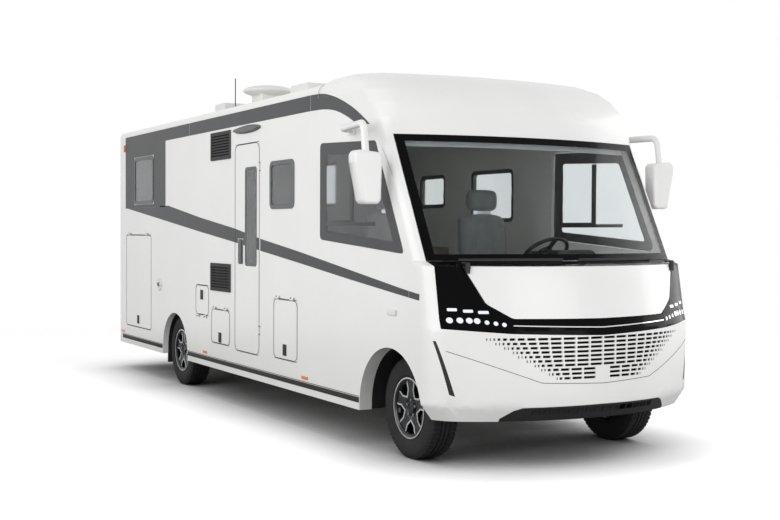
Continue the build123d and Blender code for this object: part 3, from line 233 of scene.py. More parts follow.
# Moulded white polyester: the same white, a little softer in its gloss
WHITE_MOULD = Finish("white_moulded_polyester", "#f1f1ef", "#ededeb", 0.32, Grain.PEEL, 9.0, 0.06, coat=0.2)
# White ABS of lids and covers: satin, faintly warmer
WHITE_ABS = Finish("white_abs", "#e9e9e6", "#e4e4e1", 0.42, Grain.PEBBLE, 2.5, 0.04)
# Piano-black acrylic: deep black with a low gloss, so that the white surround leaves it black
PIANO_BLACK = Finish("piano_black_acrylic", "#09090a", "#060607", 0.12, Grain.PEEL, 20.0, 0.02, specular=0.05)
# Grained black polypropylene: dull dark grey with a leathery cell
BLACK_GRAIN = Finish("grained_black_polypropylene", "#1d1d1e", "#161617", 0.62, Grain.PEBBLE, 3.0, 0.12)
# Dark grey moulded frames of the windows: even satin
GREY_FRAME = Finish("grey_window_frame_abs", "#626466", "#5b5d5f", 0.48, Grain.PEBBLE, 2.0, 0.05)
# Rubber seals and flaps, the seam under the grille, the dark radiator, and plates of painted shade behind the
# vent slots: matt near-black
RUBBER_AND_PAINTED_SHADE = Finish("moulded_rubber_seal", "#141414", "#0e0e0e", 0.78, Grain.CAST, 4.0, 0.08)
# Tyre compound: dry black with a grey bloom
TYRE_RUBBER = Finish("tyre_rubber", "#202020", "#171717", 0.82, Grain.CAST, 6.0, 0.15, patch_mm=120.0)
# Laminated windscreen: clear, faintly green, with a low index so that the white surround doesn't veil it
SCREEN_GLASS = Finish("laminated_windscreen_glass", "#f8fbfa", "#f5f9f8", 0.02, Grain.PEEL, 300.0, 0.01,
                      ior=1.12, transmission=1.0)
# Smoked acrylic panes: grey see-through
SMOKED_PANE = Finish("smoked_acrylic_pane", "#dde0e2", "#d8dbdd", 0.05, Grain.PEEL, 160.0, 0.03, ior=1.25,
                     transmission=0.95)
# Lightly tinted cab glass: grey see-through
CAB_GLASS = Finish("tinted_cab_glass", "#e6e9eb", "#e2e5e7", 0.04, Grain.PEEL, 220.0, 0.02, ior=1.25,
                   transmission=0.97)
# Diamond-turned alloy: bright fine-lined metal
TURNED_ALLOY = Finish("diamond_turned_alloy", "#f0f1f2", "#e8e9ea", 0.34, Grain.BRUSH, 0.8, 0.02,
                      metallic=1.0)
# Black lacquered casting: dark satin metal paint
BLACK_ALLOY = Finish("black_lacquered_alloy", "#26272a", "#1e1f22", 0.3, Grain.PEEL, 5.0, 0.04, metallic=0.4,
                     coat=0.4)
# Powder-coated steel: even dark satin with a fine pebble
POWDER_STEEL = Finish("powder_coated_steel", "#26282b", "#1f2124", 0.55, Grain.PEBBLE, 3.0, 0.08,
                      metallic=0.2)
# Zinc-plated steel: pale dull metal
ZINC_STEEL = Finish("zinc_plated_steel", "#b4b7ba", "#a7aaae", 0.38, Grain.BRUSH, 1.2, 0.02, metallic=1.0)
# Engine casting: rough grey iron and aluminium
CAST_IRON = Finish("cast_engine_iron", "#4b4c4d", "#3e3f40", 0.7, Grain.CAST, 8.0, 0.4, metallic=0.6)
# Chrome trim: bright mirror
CHROME = Finish("chrome_plated_trim", "#e6e7e8", "#dcdddf", 0.08, Grain.BRUSH, 2.0, 0.005, metallic=1.0)
# Woven upholstery: grey threads drawn three times as coarse as real so that they show
GREY_CLOTH = Finish("grey_woven_upholstery", "#77787b", "#6a6b6e", 0.85, Grain.WEAVE, 6.0, 0.4, sheen=0.35,
                    patch_mm=90.0)
# Coated blind fabric: pale grey, flat
BLIND_CLOTH = Finish("coated_blind_cloth", "#a9abad", "#a1a3a5", 0.8, Grain.WEAVE, 5.0, 0.15, sheen=0.15)
# Furniture laminate: pale wood print with long streaks
LAMINATE = Finish("pale_furniture_laminate", "#a39c92", "#938b80", 0.5, Grain.BRUSH, 12.0, 0.05,
                  patch_mm=160.0)
# Dark vinyl film: flat anthracite with a low gloss
FILM_GREY = Finish("anthracite_vinyl_film", "#48494b", "#444547", 0.45, Grain.PEEL, 18.0, 0.02, specular=0.3)
# Amber polycarbonate of the side markers
AMBER_LENS = Finish("amber_polycarbonate_lens", "#f08a1c", "#e07a10", 0.15, Grain.FACET, 8.0, 0.3, coat=0.5)
# Red polycarbonate of the rear lamps
RED_LENS = Finish("red_polycarbonate_lens", "#a31219", "#8c0d14", 0.14, Grain.FACET, 12.0, 0.4, coat=0.5)
# Clear lamp optics: silvery white facets with a faint light of their own
LAMP_OPTIC = Finish("clear_lamp_optics", "#eef1f4", "#d7dce1", 0.12, Grain.FACET, 9.0, 0.5, coat=0.6,
                    glow=0.25)
# Silvered mirror glass
MIRROR_GLASS = Finish("silvered_mirror_glass", "#dfe3e6", "#d8dde0", 0.03, Grain.PEEL, 200.0, 0.005,
                      metallic=1.0)

NODE_FINISHES: dict[Finish, tuple[str, ...]] = {
    WHITE_SHEET: ("side_wall_right", "side_wall_left", "rear_wall", "roof", "entrance_door", "skirts",
                  "garage_door_right", "garage_door_left", "gas_hatch", "tank_hatch", "locker_hatch"),
    WHITE_MOULD: ("front_cap", "front_bumper", "grille", "bonnet", "mirrors", "rear_bumper"),
    WHITE_ABS: ("roof_units", "filler_cap"),
    PIANO_BLACK: ("lamp_mask",),
    BLACK_GRAIN: ("lower_intake", "arch_liners", "dashboard", "steering_wheel", "wipers", "entry_step",
                  "tanks", "fridge_vents"),
    GREY_FRAME: ("window_frames", "door_trim", "awning_lamp"),
    RUBBER_AND_PAINTED_SHADE: ("mud_flaps",),
    TYRE_RUBBER: ("tyre_front_right", "tyre_front_left", "tyre_rear_right", "tyre_rear_left"),
    SCREEN_GLASS: ("windscreen",),
    SMOKED_PANE: ("window_panes", "door_pane"),
    CAB_GLASS: ("cab_side_glass",),
    BLACK_ALLOY: ("rim_front_right", "rim_front_left", "rim_rear_right", "rim_rear_left"),
    POWDER_STEEL: ("chassis_frame", "front_subframe", "rear_axle", "knuckle_right", "knuckle_left"),
    ZINC_STEEL: ("hinge_pins",),
    CAST_IRON: ("engine_block",),
    GREY_CLOTH: ("seats",),
    BLIND_CLOTH: ("screen_blind",),
    LAMINATE: ("cabinets", "floor"),
    AMBER_LENS: ("marker_lamps",),
    RED_LENS: ("rear_lamps",),
    LAMP_OPTIC: ("headlamps",),
}
FINISH_OF = {name: finish for finish, names in NODE_FINISHES.items() for name in names}


class Palette:
    """Materials made once from their finishes."""

    def __init__(self) -> None:
        """Start with no material made."""
        self.made: dict[str, bpy.types.Material] = {}

    def get(self, finish: Finish) -> bpy.types.Material:
        """Give the material of a finish, made on first use.

        Args:
            finish: what is wanted.

        Returns:
            The material.
        """
        if finish.name not in self.made:
            self.made[finish.name] = finish.build()
        return self.made[finish.name]

    def dress(self, piece: Piece, finish: Finish) -> None:
        """Give a piece one finish all over."""
        piece.data.materials.clear()
        piece.data.materials.append(self.get(finish))


PALETTE = Palette()


def activate(piece: Piece) -> None:
    """Make one piece the only selected one, and the active one.

    Args:
        piece: object to work on.
    """
    bpy.ops.object.select_all(action="DESELECT")
    piece.select_set(True)
    bpy.context.view_layer.objects.active = piece


@contextmanager
def editing(piece: Piece, mode: str = "VERT", everything: bool = True) -> Iterator[None]:
    """Work on a piece in edit mode.

    Args:
        piece: mesh object to edit.
        mode: what is selected, VERT, EDGE or FACE.
        everything: whether all of it is selected first, or the selection stays.
    """
    activate(piece)
    bpy.context.tool_settings.mesh_select_mode = tuple(mode == kind for kind in ("VERT", "EDGE", "FACE"))
    bpy.ops.object.mode_set(mode="EDIT")
    if everything:
        bpy.ops.mesh.select_all(action="SELECT")
    yield
    bpy.ops.object.mode_set(mode="OBJECT")


def select_faces(piece: Piece, rule: Callable[[Vector, Vector], bool]) -> None:
    """Select the faces that satisfy a rule, and nothing else.

    Args:
        piece: mesh object in object mode.
        rule: takes a face's centre and its normal.
    """
    for item in (*piece.data.vertices, *piece.data.edges):
        item.select = False
    for face in piece.data.polygons:
        face.select = rule(face.center, face.normal)


def primitive(name: str, operator: Callable[..., set[str]], scale: Sequence[float] = (1.0, 1.0, 1.0),
              **settings: object) -> Piece:
    """Add a mesh primitive and put its place and its size into its mesh.

    Args:
        name: name of the piece.
        operator: operator that adds the primitive.
        scale: how far it is stretched along each axis.
        settings: what the operator is told.

    Returns:
        The new piece, at the origin.
    """
    bpy.ops.object.select_all(action="DESELECT")
    operator(**settings)
    piece = bpy.context.object
    piece.scale = scale
    piece.name = name
    piece.data.name = name
    bpy.ops.object.transform_apply(location=True, rotation=True, scale=True)
    return piece


def finish_with(piece: Piece, kind: str, **settings: object) -> None:
    """Add a modifier with its settings and apply it.

    Args:
        piece: mesh object.
        kind: modifier type.
        settings: properties of the modifier.
    """
    activate(piece)
    modifier = piece.modifiers.new(kind.lower(), kind)
    for name, value in settings.items():
        setattr(modifier, name, value)
    bpy.ops.object.modifier_apply(modifier=modifier.name)


def smooth(piece: Piece, degrees: float = 35.0) -> None:
    """Shade a piece smooth up to an angle."""
    activate(piece)
    bpy.ops.object.shade_smooth_by_angle(angle=math.radians(degrees))


def thicken(piece: Piece, outward: Point3, thick: float) -> None:
    """Turn a sheet's faces outward and give it its thickness on that side.

    Args:
        piece: sheet whose faces agree with each other.
        outward: direction that it faces.
        thick: its thickness.
    """
    if sum(face.normal.dot(Vector(outward)) for face in piece.data.polygons) < 0:
        piece.data.flip_normals()
    finish_with(piece, "SOLIDIFY", thickness=thick, offset=1.0)


def hollow(piece: Piece, width: float) -> None:
    """Leave only a band along the edge of a flat face.

    Args:
        piece: mesh object of one face.
        width: width of the band.
    """
    with editing(piece, "FACE"):
        bpy.ops.mesh.inset(thickness=width)
        bpy.ops.mesh.delete(type="FACE")


def copy_piece(piece: Piece, name: str, move: Matrix) -> Piece:
    """Copy a piece with its own mesh and move the copy's mesh.

    Args:
        piece: finished piece.
        name: name of the copy.
        move: where the copy goes.

    Returns:
        The copy, at the origin.
    """
    twin = piece.copy()
    twin.data = piece.data.copy()
    twin.name = name
    twin.data.name = name
    bpy.context.collection.objects.link(twin)
    twin.data.transform(move)
    return twin


def hand_over(piece: Piece, finish: Finish, body: str = "body",
              stands_for: str | None = None) -> None:
    """Dress a finished piece, let it ride on its body and log it.

    Args:
        piece: finished piece.
        finish: what it is made of.
        body: body that carries it.
        stands_for: node that it replaces, if any.
    """
    PALETTE.dress(piece, finish)
    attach(piece, body)
    if stands_for:
        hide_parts(stands_for)
    LOG.info("%s: %d faces on %s", piece.name, len(piece.data.polygons), body)


def block(name: str, low: Point3, high: Point3) -> Piece:
    """Model a plain block between two corners."""
    return primitive(name, bpy.ops.mesh.primitive_cube_add, [b - a for a, b in zip(low, high)], size=1.0,
                     location=[(a + b) / 2 for a, b in zip(low, high)])


def bar(name: str, low: Point3, high: Point3, edge: float) -> Piece:
    """Model a bar between two corners with rounded edges.

    Args:
        name: name of the piece.
        low: low corner.
        high: high corner.
        edge: radius of its edges.

    Returns:
        The finished mesh object.
    """
    piece = block(name, low, high)
    with editing(piece, "EDGE"):
        bpy.ops.mesh.bevel(offset=edge, segments=3, affect="EDGES")
    smooth(piece)
    return piece


def wall_bar(name: str, box: Box2, out: Point2, sign: int, edge: float = MM) -> Piece:
    """Model a bar on one side wall.

    Args:
        name: name of the piece.
        box: its ends and its heights.
        out: distances of its back and its face from the vehicle's middle plane.
        sign: -1 on the right wall, 1 on the left.
        edge: radius of its edges.

    Returns:
        The finished mesh object.
    """
    x0, x1, z0, z1 = box
    near, far = sorted(sign * y for y in out)
    return bar(name, (x0, near, z0), (x1, far, z1), edge)


def plate(name: str, corners: Sequence[Point3], cut: float, segments: int) -> Piece:
    """Model a flat plate with rounded corners, still without thickness.

    Args:
        name: name of the piece.
        corners: the low pair and then the high pair, both pairs in the same direction.
        cut: how far from a corner its curve begins.
        segments: stretches of each curve.

    Returns:
        The mesh object of one face.
    """
    piece = primitive(name, bpy.ops.mesh.primitive_plane_add, size=2.0)
    for vertex, corner in zip(piece.data.vertices, corners):
        vertex.co = corner
    with editing(piece):
        bpy.ops.mesh.bevel(offset=cut, segments=segments, affect="VERTICES")
    return piece


class Side(Enum):
    """Where a film lies: on the right or left wall, or on the front."""

    RIGHT = -1
    LEFT = 1
    FRONT = 0


WALLS = (Side.RIGHT, Side.LEFT)


def height_at(edge: Sequence[Point2], run: float) -> float:
    """Find the height of a drawn edge at one run, level beyond its ends.

    Args:
        edge: (run, height) pairs with rising run.
        run: where the height is wanted.

    Returns:
        The height there.
    """
    held = min(max(run, edge[0][0]), edge[-1][0])
    for (x0, z0), (x1, z1) in zip(edge, edge[1:]):
        if held <= x1 + 1e-9:
            return z0 + (held - x0) / (x1 - x0) * (z1 - z0)
    return edge[-1][1]


def rounded(corners: Sequence[Point2], cut: float, steps: int = 8) -> list[Point2]:
    """Round the corners of an outline.

    Args:
        corners: corners in order.
        cut: how far from each corner its curve begins.
        steps: stretches of each curve.

    Returns:
        The points of the rounded outline, the first once more at the end.
    """
    outline = []
    for index, corner in enumerate(corners):
        middle = Vector(corner)
        before = middle + cut * (Vector(corners[index - 1]) - middle).normalized()
        after = middle + cut * (Vector(corners[(index + 1) % len(corners)]) - middle).normalized()
        for step in range(steps + 1):
            share = step / steps
            outline.append(tuple(before.lerp(middle, share).lerp(middle.lerp(after, share), share)))
    return outline + outline[:1]


@dataclass
class Film:
    """A thin sheet between a lower and an upper edge, laid on a panel of the frame."""

    name: str
    lower: Sequence[Point2]
    upper: Sequence[Point2]
    onto: str | None = None
    thick: float = FILM
    columns: int = 24
    rows: int = 3
    paired: bool = False

    def point(self, edge: Sequence[Point2], share: float) -> Point2:
        """Find a point of an edge.

        Args:
            edge: the lower or the upper edge.
            share: share of its run, or of its points where the two edges pair up one by one.

        Returns:
            Run and height there.
        """
        if self.paired:
            return edge[round(share * self.columns)]
        run = edge[0][0] + share * (edge[-1][0] - edge[0][0])
        return run, height_at(edge, run)

    def build(self, side: Side) -> Piece:
        """Model the film.

        Args:
            side: panel that it lies on.

        Returns:
            The finished mesh object.
        """
        piece = primitive(self.name, bpy.ops.mesh.primitive_grid_add, x_subdivisions=self.columns,
                          y_subdivisions=self.rows, size=2.0)
        wall = side.value * (HALF + FILM_LIFT if self.onto is None else SIDE_CLEAR)
        for vertex in piece.data.vertices:
            low, high = (Vector(self.point(edge, (vertex.co.x + 1) / 2)) for edge in (self.lower, self.upper))
            run, height = low.lerp(high, (vertex.co.y + 1) / 2)
            vertex.co = (NOSE_CLEAR, run, height) if side is Side.FRONT else (run, wall, height)
        if self.onto is not None:
            self.lay(piece, side)
        with editing(piece):
            bpy.ops.mesh.remove_doubles(threshold=MM / 100)
            bpy.ops.mesh.normals_make_consistent(inside=False)
        thicken(piece, (1, 0, 0) if side is Side.FRONT else (0, side.value, 0), self.thick)
        return piece

    def lay(self, piece: Piece, side: Side) -> None:
        """Press the sheet on its panel from outside, and put what misses it on the flat wall beside it.

        Args:
            piece: flat sheet outside the panel.
            side: direction that it is pressed from.
        """
        front = side is Side.FRONT
        right = side is Side.RIGHT
        finish_with(piece, "SHRINKWRAP", target=bpy.data.objects[self.onto], wrap_method="PROJECT",
                    offset=FILM_LIFT, use_project_x=front, use_project_y=not front, use_project_z=False,
                    use_negative_direction=not right, use_positive_direction=right)
        for vertex in piece.data.vertices:
            if not front and abs(vertex.co.y) > SIDE_CLEAR - MM:
                vertex.co.y = side.value * (HALF + FILM_LIFT)


@dataclass
class Graphics:
    """Anthracite films on both sides: the stripe under the roof, the block round the rear window and the long
    diagonal band that passes the entrance door."""

    stripe_z: Point2 = (2.606, 2.733)
    stripe_break: float = -1.350
    stripe_end: float = 1.580
    block_x: Point2 = (-3.623, -2.126)
    block_z: float = 1.895
    window_x: Point2 = (-3.268, -2.542)
    window_z: Point2 = (1.932, 2.478)
    door_x: Point2 = (-0.076, 0.510)
    door_light_x: Point2 = (0.168, 0.452)
    grip_x: Point2 = (-0.007, 0.129)
    grip_top: float = 1.566
    gap: float = 0.008
    hinge_gap: float = 0.024
    seam: float = 0.002
    butt: float = FILM
    band_low: Sequence[Point2] = (
        (-3.53, 1.893), (-2.316, 1.764), (-1.033, 1.627), (-0.103, 1.533), (0.551, 1.46), (1.385, 1.372),
        (2.3, 1.272), (3.079, 1.192), (3.345, 1.166))
    band_high: Sequence[Point2] = (
        (-2.041, 1.905), (-1.033, 1.769), (-0.103, 1.661), (0.55, 1.566), (1.384, 1.465), (2.3, 1.344),
        (3.078, 1.241), (3.331, 1.211))
    cap_low: Sequence[Point2] = (
        (1.586, 2.606), (1.797, 2.601), (1.890, 2.594), (1.972, 2.583), (2.050, 2.569), (2.119, 2.551),
        (2.200, 2.525), (2.271, 2.499), (2.340, 2.470), (2.405, 2.441))
    cap_high: Sequence[Point2] = (
        (1.586, 2.733), (1.763, 2.729), (1.850, 2.719), (1.934, 2.703), (2.015, 2.684), (2.095, 2.661),
        (2.205, 2.624), (2.312, 2.582), (2.400, 2.543), (2.481, 2.501), (2.550, 2.463), (2.614, 2.424))

    def band(self, name: str, x0: float, x1: float, floor: float = 0.0, onto: str | None = None) -> Film:
        """Cut a stretch of the diagonal band.

        Args:
            name: name of the film.
            x0: where it starts.
            x1: where it ends.
            floor: height that it doesn't go below.
            onto: curved panel that it is pressed on.

        Returns:
            The film of that stretch.
        """
        inner = [x for x, _ in (*self.band_low, *self.band_high) if x0 < x < x1]
        runs = sorted({x0, x1, *inner})
        lower = [(x, max(floor, height_at(self.band_low, x))) for x in runs]
        upper = [(x, height_at(self.band_high, x)) for x in runs]
        return Film(name, lower, upper, onto)

    def level(self, name: str, x0: float, x1: float, z0: float, z1: float) -> Film:
        """Cut a level strip between two runs and two heights."""
        return Film(name, ((x0, z0), (x1, z0)), ((x0, z1), (x1, z1)), columns=2, rows=2)

    def films(self, side: Side) -> list[tuple[Film, str]]:
        """List the films of one side with the bodies that carry them.

        Args:
            side: right or left wall.

        Returns:
            Films and body names.
        """
        tag = side.name.lower()
        top = self.stripe_z[1]
        tail = self.band_low[:2]
        tail_end = tail[1][0]
        band_end = WALL_FRONT - self.seam
        nose = (WALL_FRONT + self.seam, self.band_low[-1][0])
        rear = (self.block_x[1], self.stripe_break - self.gap)
        body = [
            self.level(f"film_block_back_{tag}", self.block_x[0], self.window_x[0], self.block_z, top),
            self.level(f"film_block_front_{tag}", self.window_x[1], self.block_x[1], self.block_z, top),
            self.level(f"film_block_top_{tag}", *self.window_x, self.window_z[1], top),
            self.level(f"film_block_foot_{tag}", *self.window_x, self.block_z, self.window_z[0]),
            self.level(f"film_stripe_rear_{tag}", *rear, *self.stripe_z),
            self.level(f"film_stripe_{tag}", self.stripe_break, self.stripe_end, *self.stripe_z),
            Film(f"film_cap_{tag}", self.cap_low, self.cap_high, f"side_wall_{tag}", columns=60, rows=14),
            Film(f"film_band_tail_{tag}", tail, [(x, self.block_z - self.butt) for x, _ in tail]),
            self.band(f"film_band_nose_{tag}", *nose, onto="front_bumper"),
        ]
        door = []
        if side is Side.LEFT:
            body.append(self.band(f"film_band_{tag}", tail_end, band_end))
        else:
            back, front = self.door_x
            body.append(self.band(f"film_band_rear_{tag}", tail_end, back - self.gap))
            body.append(self.band(f"film_band_{tag}", front + self.hinge_gap, band_end))
            door = [
                self.band(f"film_door_edge_{tag}", back + self.seam, self.grip_x[0]),
                self.band(f"film_door_grip_{tag}", *self.grip_x, floor=self.grip_top),
                self.band(f"film_door_middle_{tag}", self.grip_x[1], self.door_light_x[0]),
                self.band(f"film_door_front_{tag}", self.door_light_x[1], front - self.seam),
            ]
        return [(film, "body") for film in body] + [(film, "entrance_door") for film in door]

    def build(self) -> None:
        """Lay every film on both sides."""
        for side in WALLS:
            for film, body in self.films(side):
                hand_over(film.build(side), FILM_GREY, body)


@dataclass
class Wheel:
    """Tyre with its tread, and the bright edges, bolts and cap on the five-spoke rim."""

    radius: float = 0.365
    half_width: float = 0.1125
    tread_depth: float = 0.008
    steps: int = 180
    block_every: int = 3
    centre_rib: float = 0.030
    grooves: Sequence[float] = (0.0, 0.034)
    groove_half: float = 0.005
    # Side wall from the bead to the shoulder: (distance in from the half width, radius)
    wall: Sequence[Point2] = (
        (0.027, 0.2056), (0.0215, 0.2232), (0.0085, 0.236), (0.003, 0.256), (0.0005, 0.286), (0.0015, 0.300),
        (0.0015, 0.3012), (0.005, 0.326), (0.010, 0.340), (0.020, 0.3535), (0.034, 0.357))
    spokes: int = 5
    # One window of the rim: (distance from its middle line, radius)
    window: Sequence[Point2] = (
        (0.062, 0.176), (0.044, 0.126), (0.0, 0.092), (-0.044, 0.126), (-0.062, 0.176))
    edge_width: float = 0.0125
    edge_grow: float = 1.22
    edge_thick: float = 0.0016
    edge_lift: float = 0.0006
    edge_bevel: float = 0.0004
    edge_open: float = 0.004
    # The rim's dished face: radius and height where it starts, and its slope
    face_start: Point2 = (0.082, 0.078)
    face_slope: float = 0.006 / 0.117
    lip_r: float = 0.2212
    lip_y: float = 0.1002
    lip_width: float = 0.0105
    lip_thick: float = 0.0012
    # Radius and depth of a stud, then the rim and the depth of the hollow in its face
    bolt_size: Point2 = (0.0105, 0.020)
    bolt_hollow: Point2 = (0.003, 0.002)
    bolt_circle: float = 0.0585
    bolt_y: float = 0.0725
    cap_size: Point2 = (0.036, 0.010)
    cap_hollow: Point2 = (0.006, 0.0012)
    cap_edge: float = 0.004
    cap_y: float = 0.0705
    spots: dict[str, tuple[float, float, int]] = field(default_factory=lambda: {
        "front_right": (FRONT_AXLE, FRONT_WHEEL_Y, -1),
        "front_left": (FRONT_AXLE, FRONT_WHEEL_Y, 1),
        "rear_right": (REAR_AXLE, REAR_WHEEL_Y, -1),
        "rear_left": (REAR_AXLE, REAR_WHEEL_Y, 1),
    })

    def section(self) -> list[Point2]:
        """Draw the tyre's section without its blocks.

        Returns:
            (y, r) points from one bead over the tread to the other.
        """
        base = self.radius - self.tread_depth
        outer = [(self.half_width - inset, r) for inset, r in self.wall]
        for middle in sorted(self.grooves, reverse=True):
            for y in (middle + self.groove_half, middle - self.groove_half):
                if y > 0:
                    outer.append((y, base))
        return outer + [(-y, r) for y, r in reversed(outer)]

    def is_block(self, centre: Vector, normal: Vector) -> bool:
        """Tell whether a face of the plain tread belongs to a block.

        Args:
            centre: middle of the face.
            normal: its direction.

        Returns:
            True between the grooves and, on the shoulders, between the cross cuts.
        """
        shoulder_r = self.wall[-2][1]
        if math.hypot(centre.x, centre.z) < shoulder_r or abs(normal.y) > 0.5:
            return False
        y = abs(centre.y)
        if any(abs(y - middle) < self.groove_half for middle in self.grooves):
            return False
        turn = math.atan2(centre.x, centre.z) / (2 * math.pi) * self.steps
        return y < self.centre_rib or math.floor(turn) % self.block_every != 0

    def tyre(self) -> Piece:
        """Spin the tyre's section about the axle and raise its tread blocks.

        Returns:
            The finished mesh object.
        """
        points = self.section()
        piece = primitive("tyre", bpy.ops.mesh.primitive_circle_add, vertices=len(points), radius=1.0)
        for vertex, (y, r) in zip(piece.data.vertices, points):
            vertex.co = (0.0, y, r)
        with editing(piece):
            bpy.ops.mesh.spin(steps=self.steps, angle=2 * math.pi, center=(0, 0, 0), axis=(0, 1, 0))
            bpy.ops.mesh.select_all(action="SELECT")
            bpy.ops.mesh.remove_doubles(threshold=MM / 100)
            bpy.ops.mesh.normals_make_consistent(inside=False)
        select_faces(piece, self.is_block)
        with editing(piece, "FACE", everything=False):
            bpy.ops.mesh.extrude_region_shrink_fatten(TRANSFORM_OT_shrink_fatten={"value": self.tread_depth})
        smooth(piece, 30.0)
        return piece

    def ring_of(self, piece: Piece, shift: float) -> Piece:
        """Copy a piece to every spoke round the wheel's axis and join the copies.

        Args:
            piece: piece about the origin.
            shift: share of a step that the first is turned by.

        Returns:
            The joined piece.
        """
        copies = []
        for index in range(self.spokes):
            turn = Matrix.Rotation(2 * math.pi * (index + shift) / self.spokes, 4, "Y")
            copies.append(copy_piece(piece, f"{piece.name}_{index}", turn))
        bpy.data.objects.remove(piece)
        activate(copies[0])
        for twin in copies[1:]:
            twin.select_set(True)
        bpy.ops.object.join()
        return copies[0]

    def spoke_edges(self) -> Piece:
        """Model the turned edge round one window of the rim, open at its top, and copy it round the wheel.

        Returns:
            The joined edges.
        """
        piece = primitive("spoke_edges", bpy.ops.mesh.primitive_circle_add, vertices=len(self.window),
                          radius=1.0, fill_type="NGON")
        middle = sum(r for _, r in self.window) / len(self.window)
        start_r, start_y = self.face_start
        for vertex, (x, r) in zip(piece.data.vertices, self.window):
            wide, up = x * self.edge_grow, middle + (r - middle) * self.edge_grow
            face_y = start_y + (math.hypot(wide, up) - start_r) * self.face_slope
            vertex.co = (wide, face_y + self.edge_lift, up)
        hollow(piece, self.edge_width)
        top = self.window[0][1] - self.edge_open
        select_faces(piece, lambda centre, normal: centre.z > top)
        with editing(piece, "FACE", everything=False):
            bpy.ops.mesh.delete(type="FACE")
            bpy.ops.mesh.select_all(action="SELECT")
            bpy.ops.mesh.normals_make_consistent(inside=False)
        thicken(piece, (0, 1, 0), self.edge_thick)
        finish_with(piece, "BEVEL", width=self.edge_bevel, segments=2, limit_method="ANGLE")
        return self.ring_of(piece, 0.5)

    def rim_ring(self) -> Piece:
        """Model the turned ring on the rim's lip.

        Returns:
            The finished mesh object.
        """
        piece = primitive("rim_ring", bpy.ops.mesh.primitive_circle_add, vertices=96, radius=self.lip_r,
                          fill_type="NGON", location=(0, self.lip_y, 0), rotation=FACING_LEFT)
        hollow(piece, self.lip_width)
        finish_with(piece, "SOLIDIFY", thickness=self.lip_thick, offset=1.0)
        smooth(piece)
        return piece

    def stud(self, name: str, sides: int, size: Point2, spot: Point3) -> Piece:
        """Model a cylinder along the axle, with its outer face selected.

        Args:
            name: name of the piece.
            sides: sides of the cylinder.
            size: its radius and its depth.
            spot: its middle.

        Returns:
            The mesh object.
        """
        radius, depth = size
        piece = primitive(name, bpy.ops.mesh.primitive_cylinder_add, vertices=sides, radius=radius,
                          depth=depth, location=spot, rotation=FACING_LEFT)
        select_faces(piece, lambda centre, normal: normal.y > 0.9)
        return piece

    def bolts(self) -> Piece:
        """Model one wheel bolt with a hollow in its hexagon head, and copy it round the hub.

        Returns:
            The joined bolts.
        """
        piece = self.stud("wheel_bolts", 6, self.bolt_size, (0, self.bolt_y, self.bolt_circle))
        rim, depth = self.bolt_hollow
        with editing(piece, "FACE", everything=False):
            bpy.ops.mesh.inset(thickness=rim)
            bpy.ops.mesh.extrude_region_move(TRANSFORM_OT_translate={"value": (0, -depth, 0)})
        return self.ring_of(piece, 0.0)

    def centre_cap(self) -> Piece:
        """Model the plain cap over the hub, with a rounded edge and a shallow hollow.

        Returns:
            The finished mesh object.
        """
        piece = self.stud("centre_cap", 48, self.cap_size, (0, self.cap_y, 0))
        rim, depth = self.cap_hollow
        with editing(piece, "FACE", everything=False):
            bpy.ops.mesh.bevel(offset=self.cap_edge, segments=4)
            bpy.ops.mesh.inset(thickness=rim)
            bpy.ops.mesh.extrude_region_move(TRANSFORM_OT_translate={"value": (0, -depth, 0)})
        smooth(piece)
        return piece

    def build(self) -> None:
        """Model one wheel's pieces and set a copy of each on all four wheels."""
        models = (
            (self.tyre(), TYRE_RUBBER),
            (self.spoke_edges(), TURNED_ALLOY),
            (self.rim_ring(), TURNED_ALLOY),
            (self.bolts(), ZINC_STEEL),
            (self.centre_cap(), BLACK_ALLOY),
        )
        for model, finish in models:
            for name, (x, y, sign) in self.spots.items():
                turn = Matrix.Rotation(0.0 if sign > 0 else math.pi, 4, "Z")
                twin = copy_piece(model, f"{model.name.split('.')[0]}_wheel_{name}",
                                  Matrix.Translation((x, sign * y, HUB_Z)) @ turn)
                hand_over(twin, finish, f"wheel_{name}", f"tyre_{name}" if finish is TYRE_RUBBER else None)
            bpy.data.objects.remove(model)


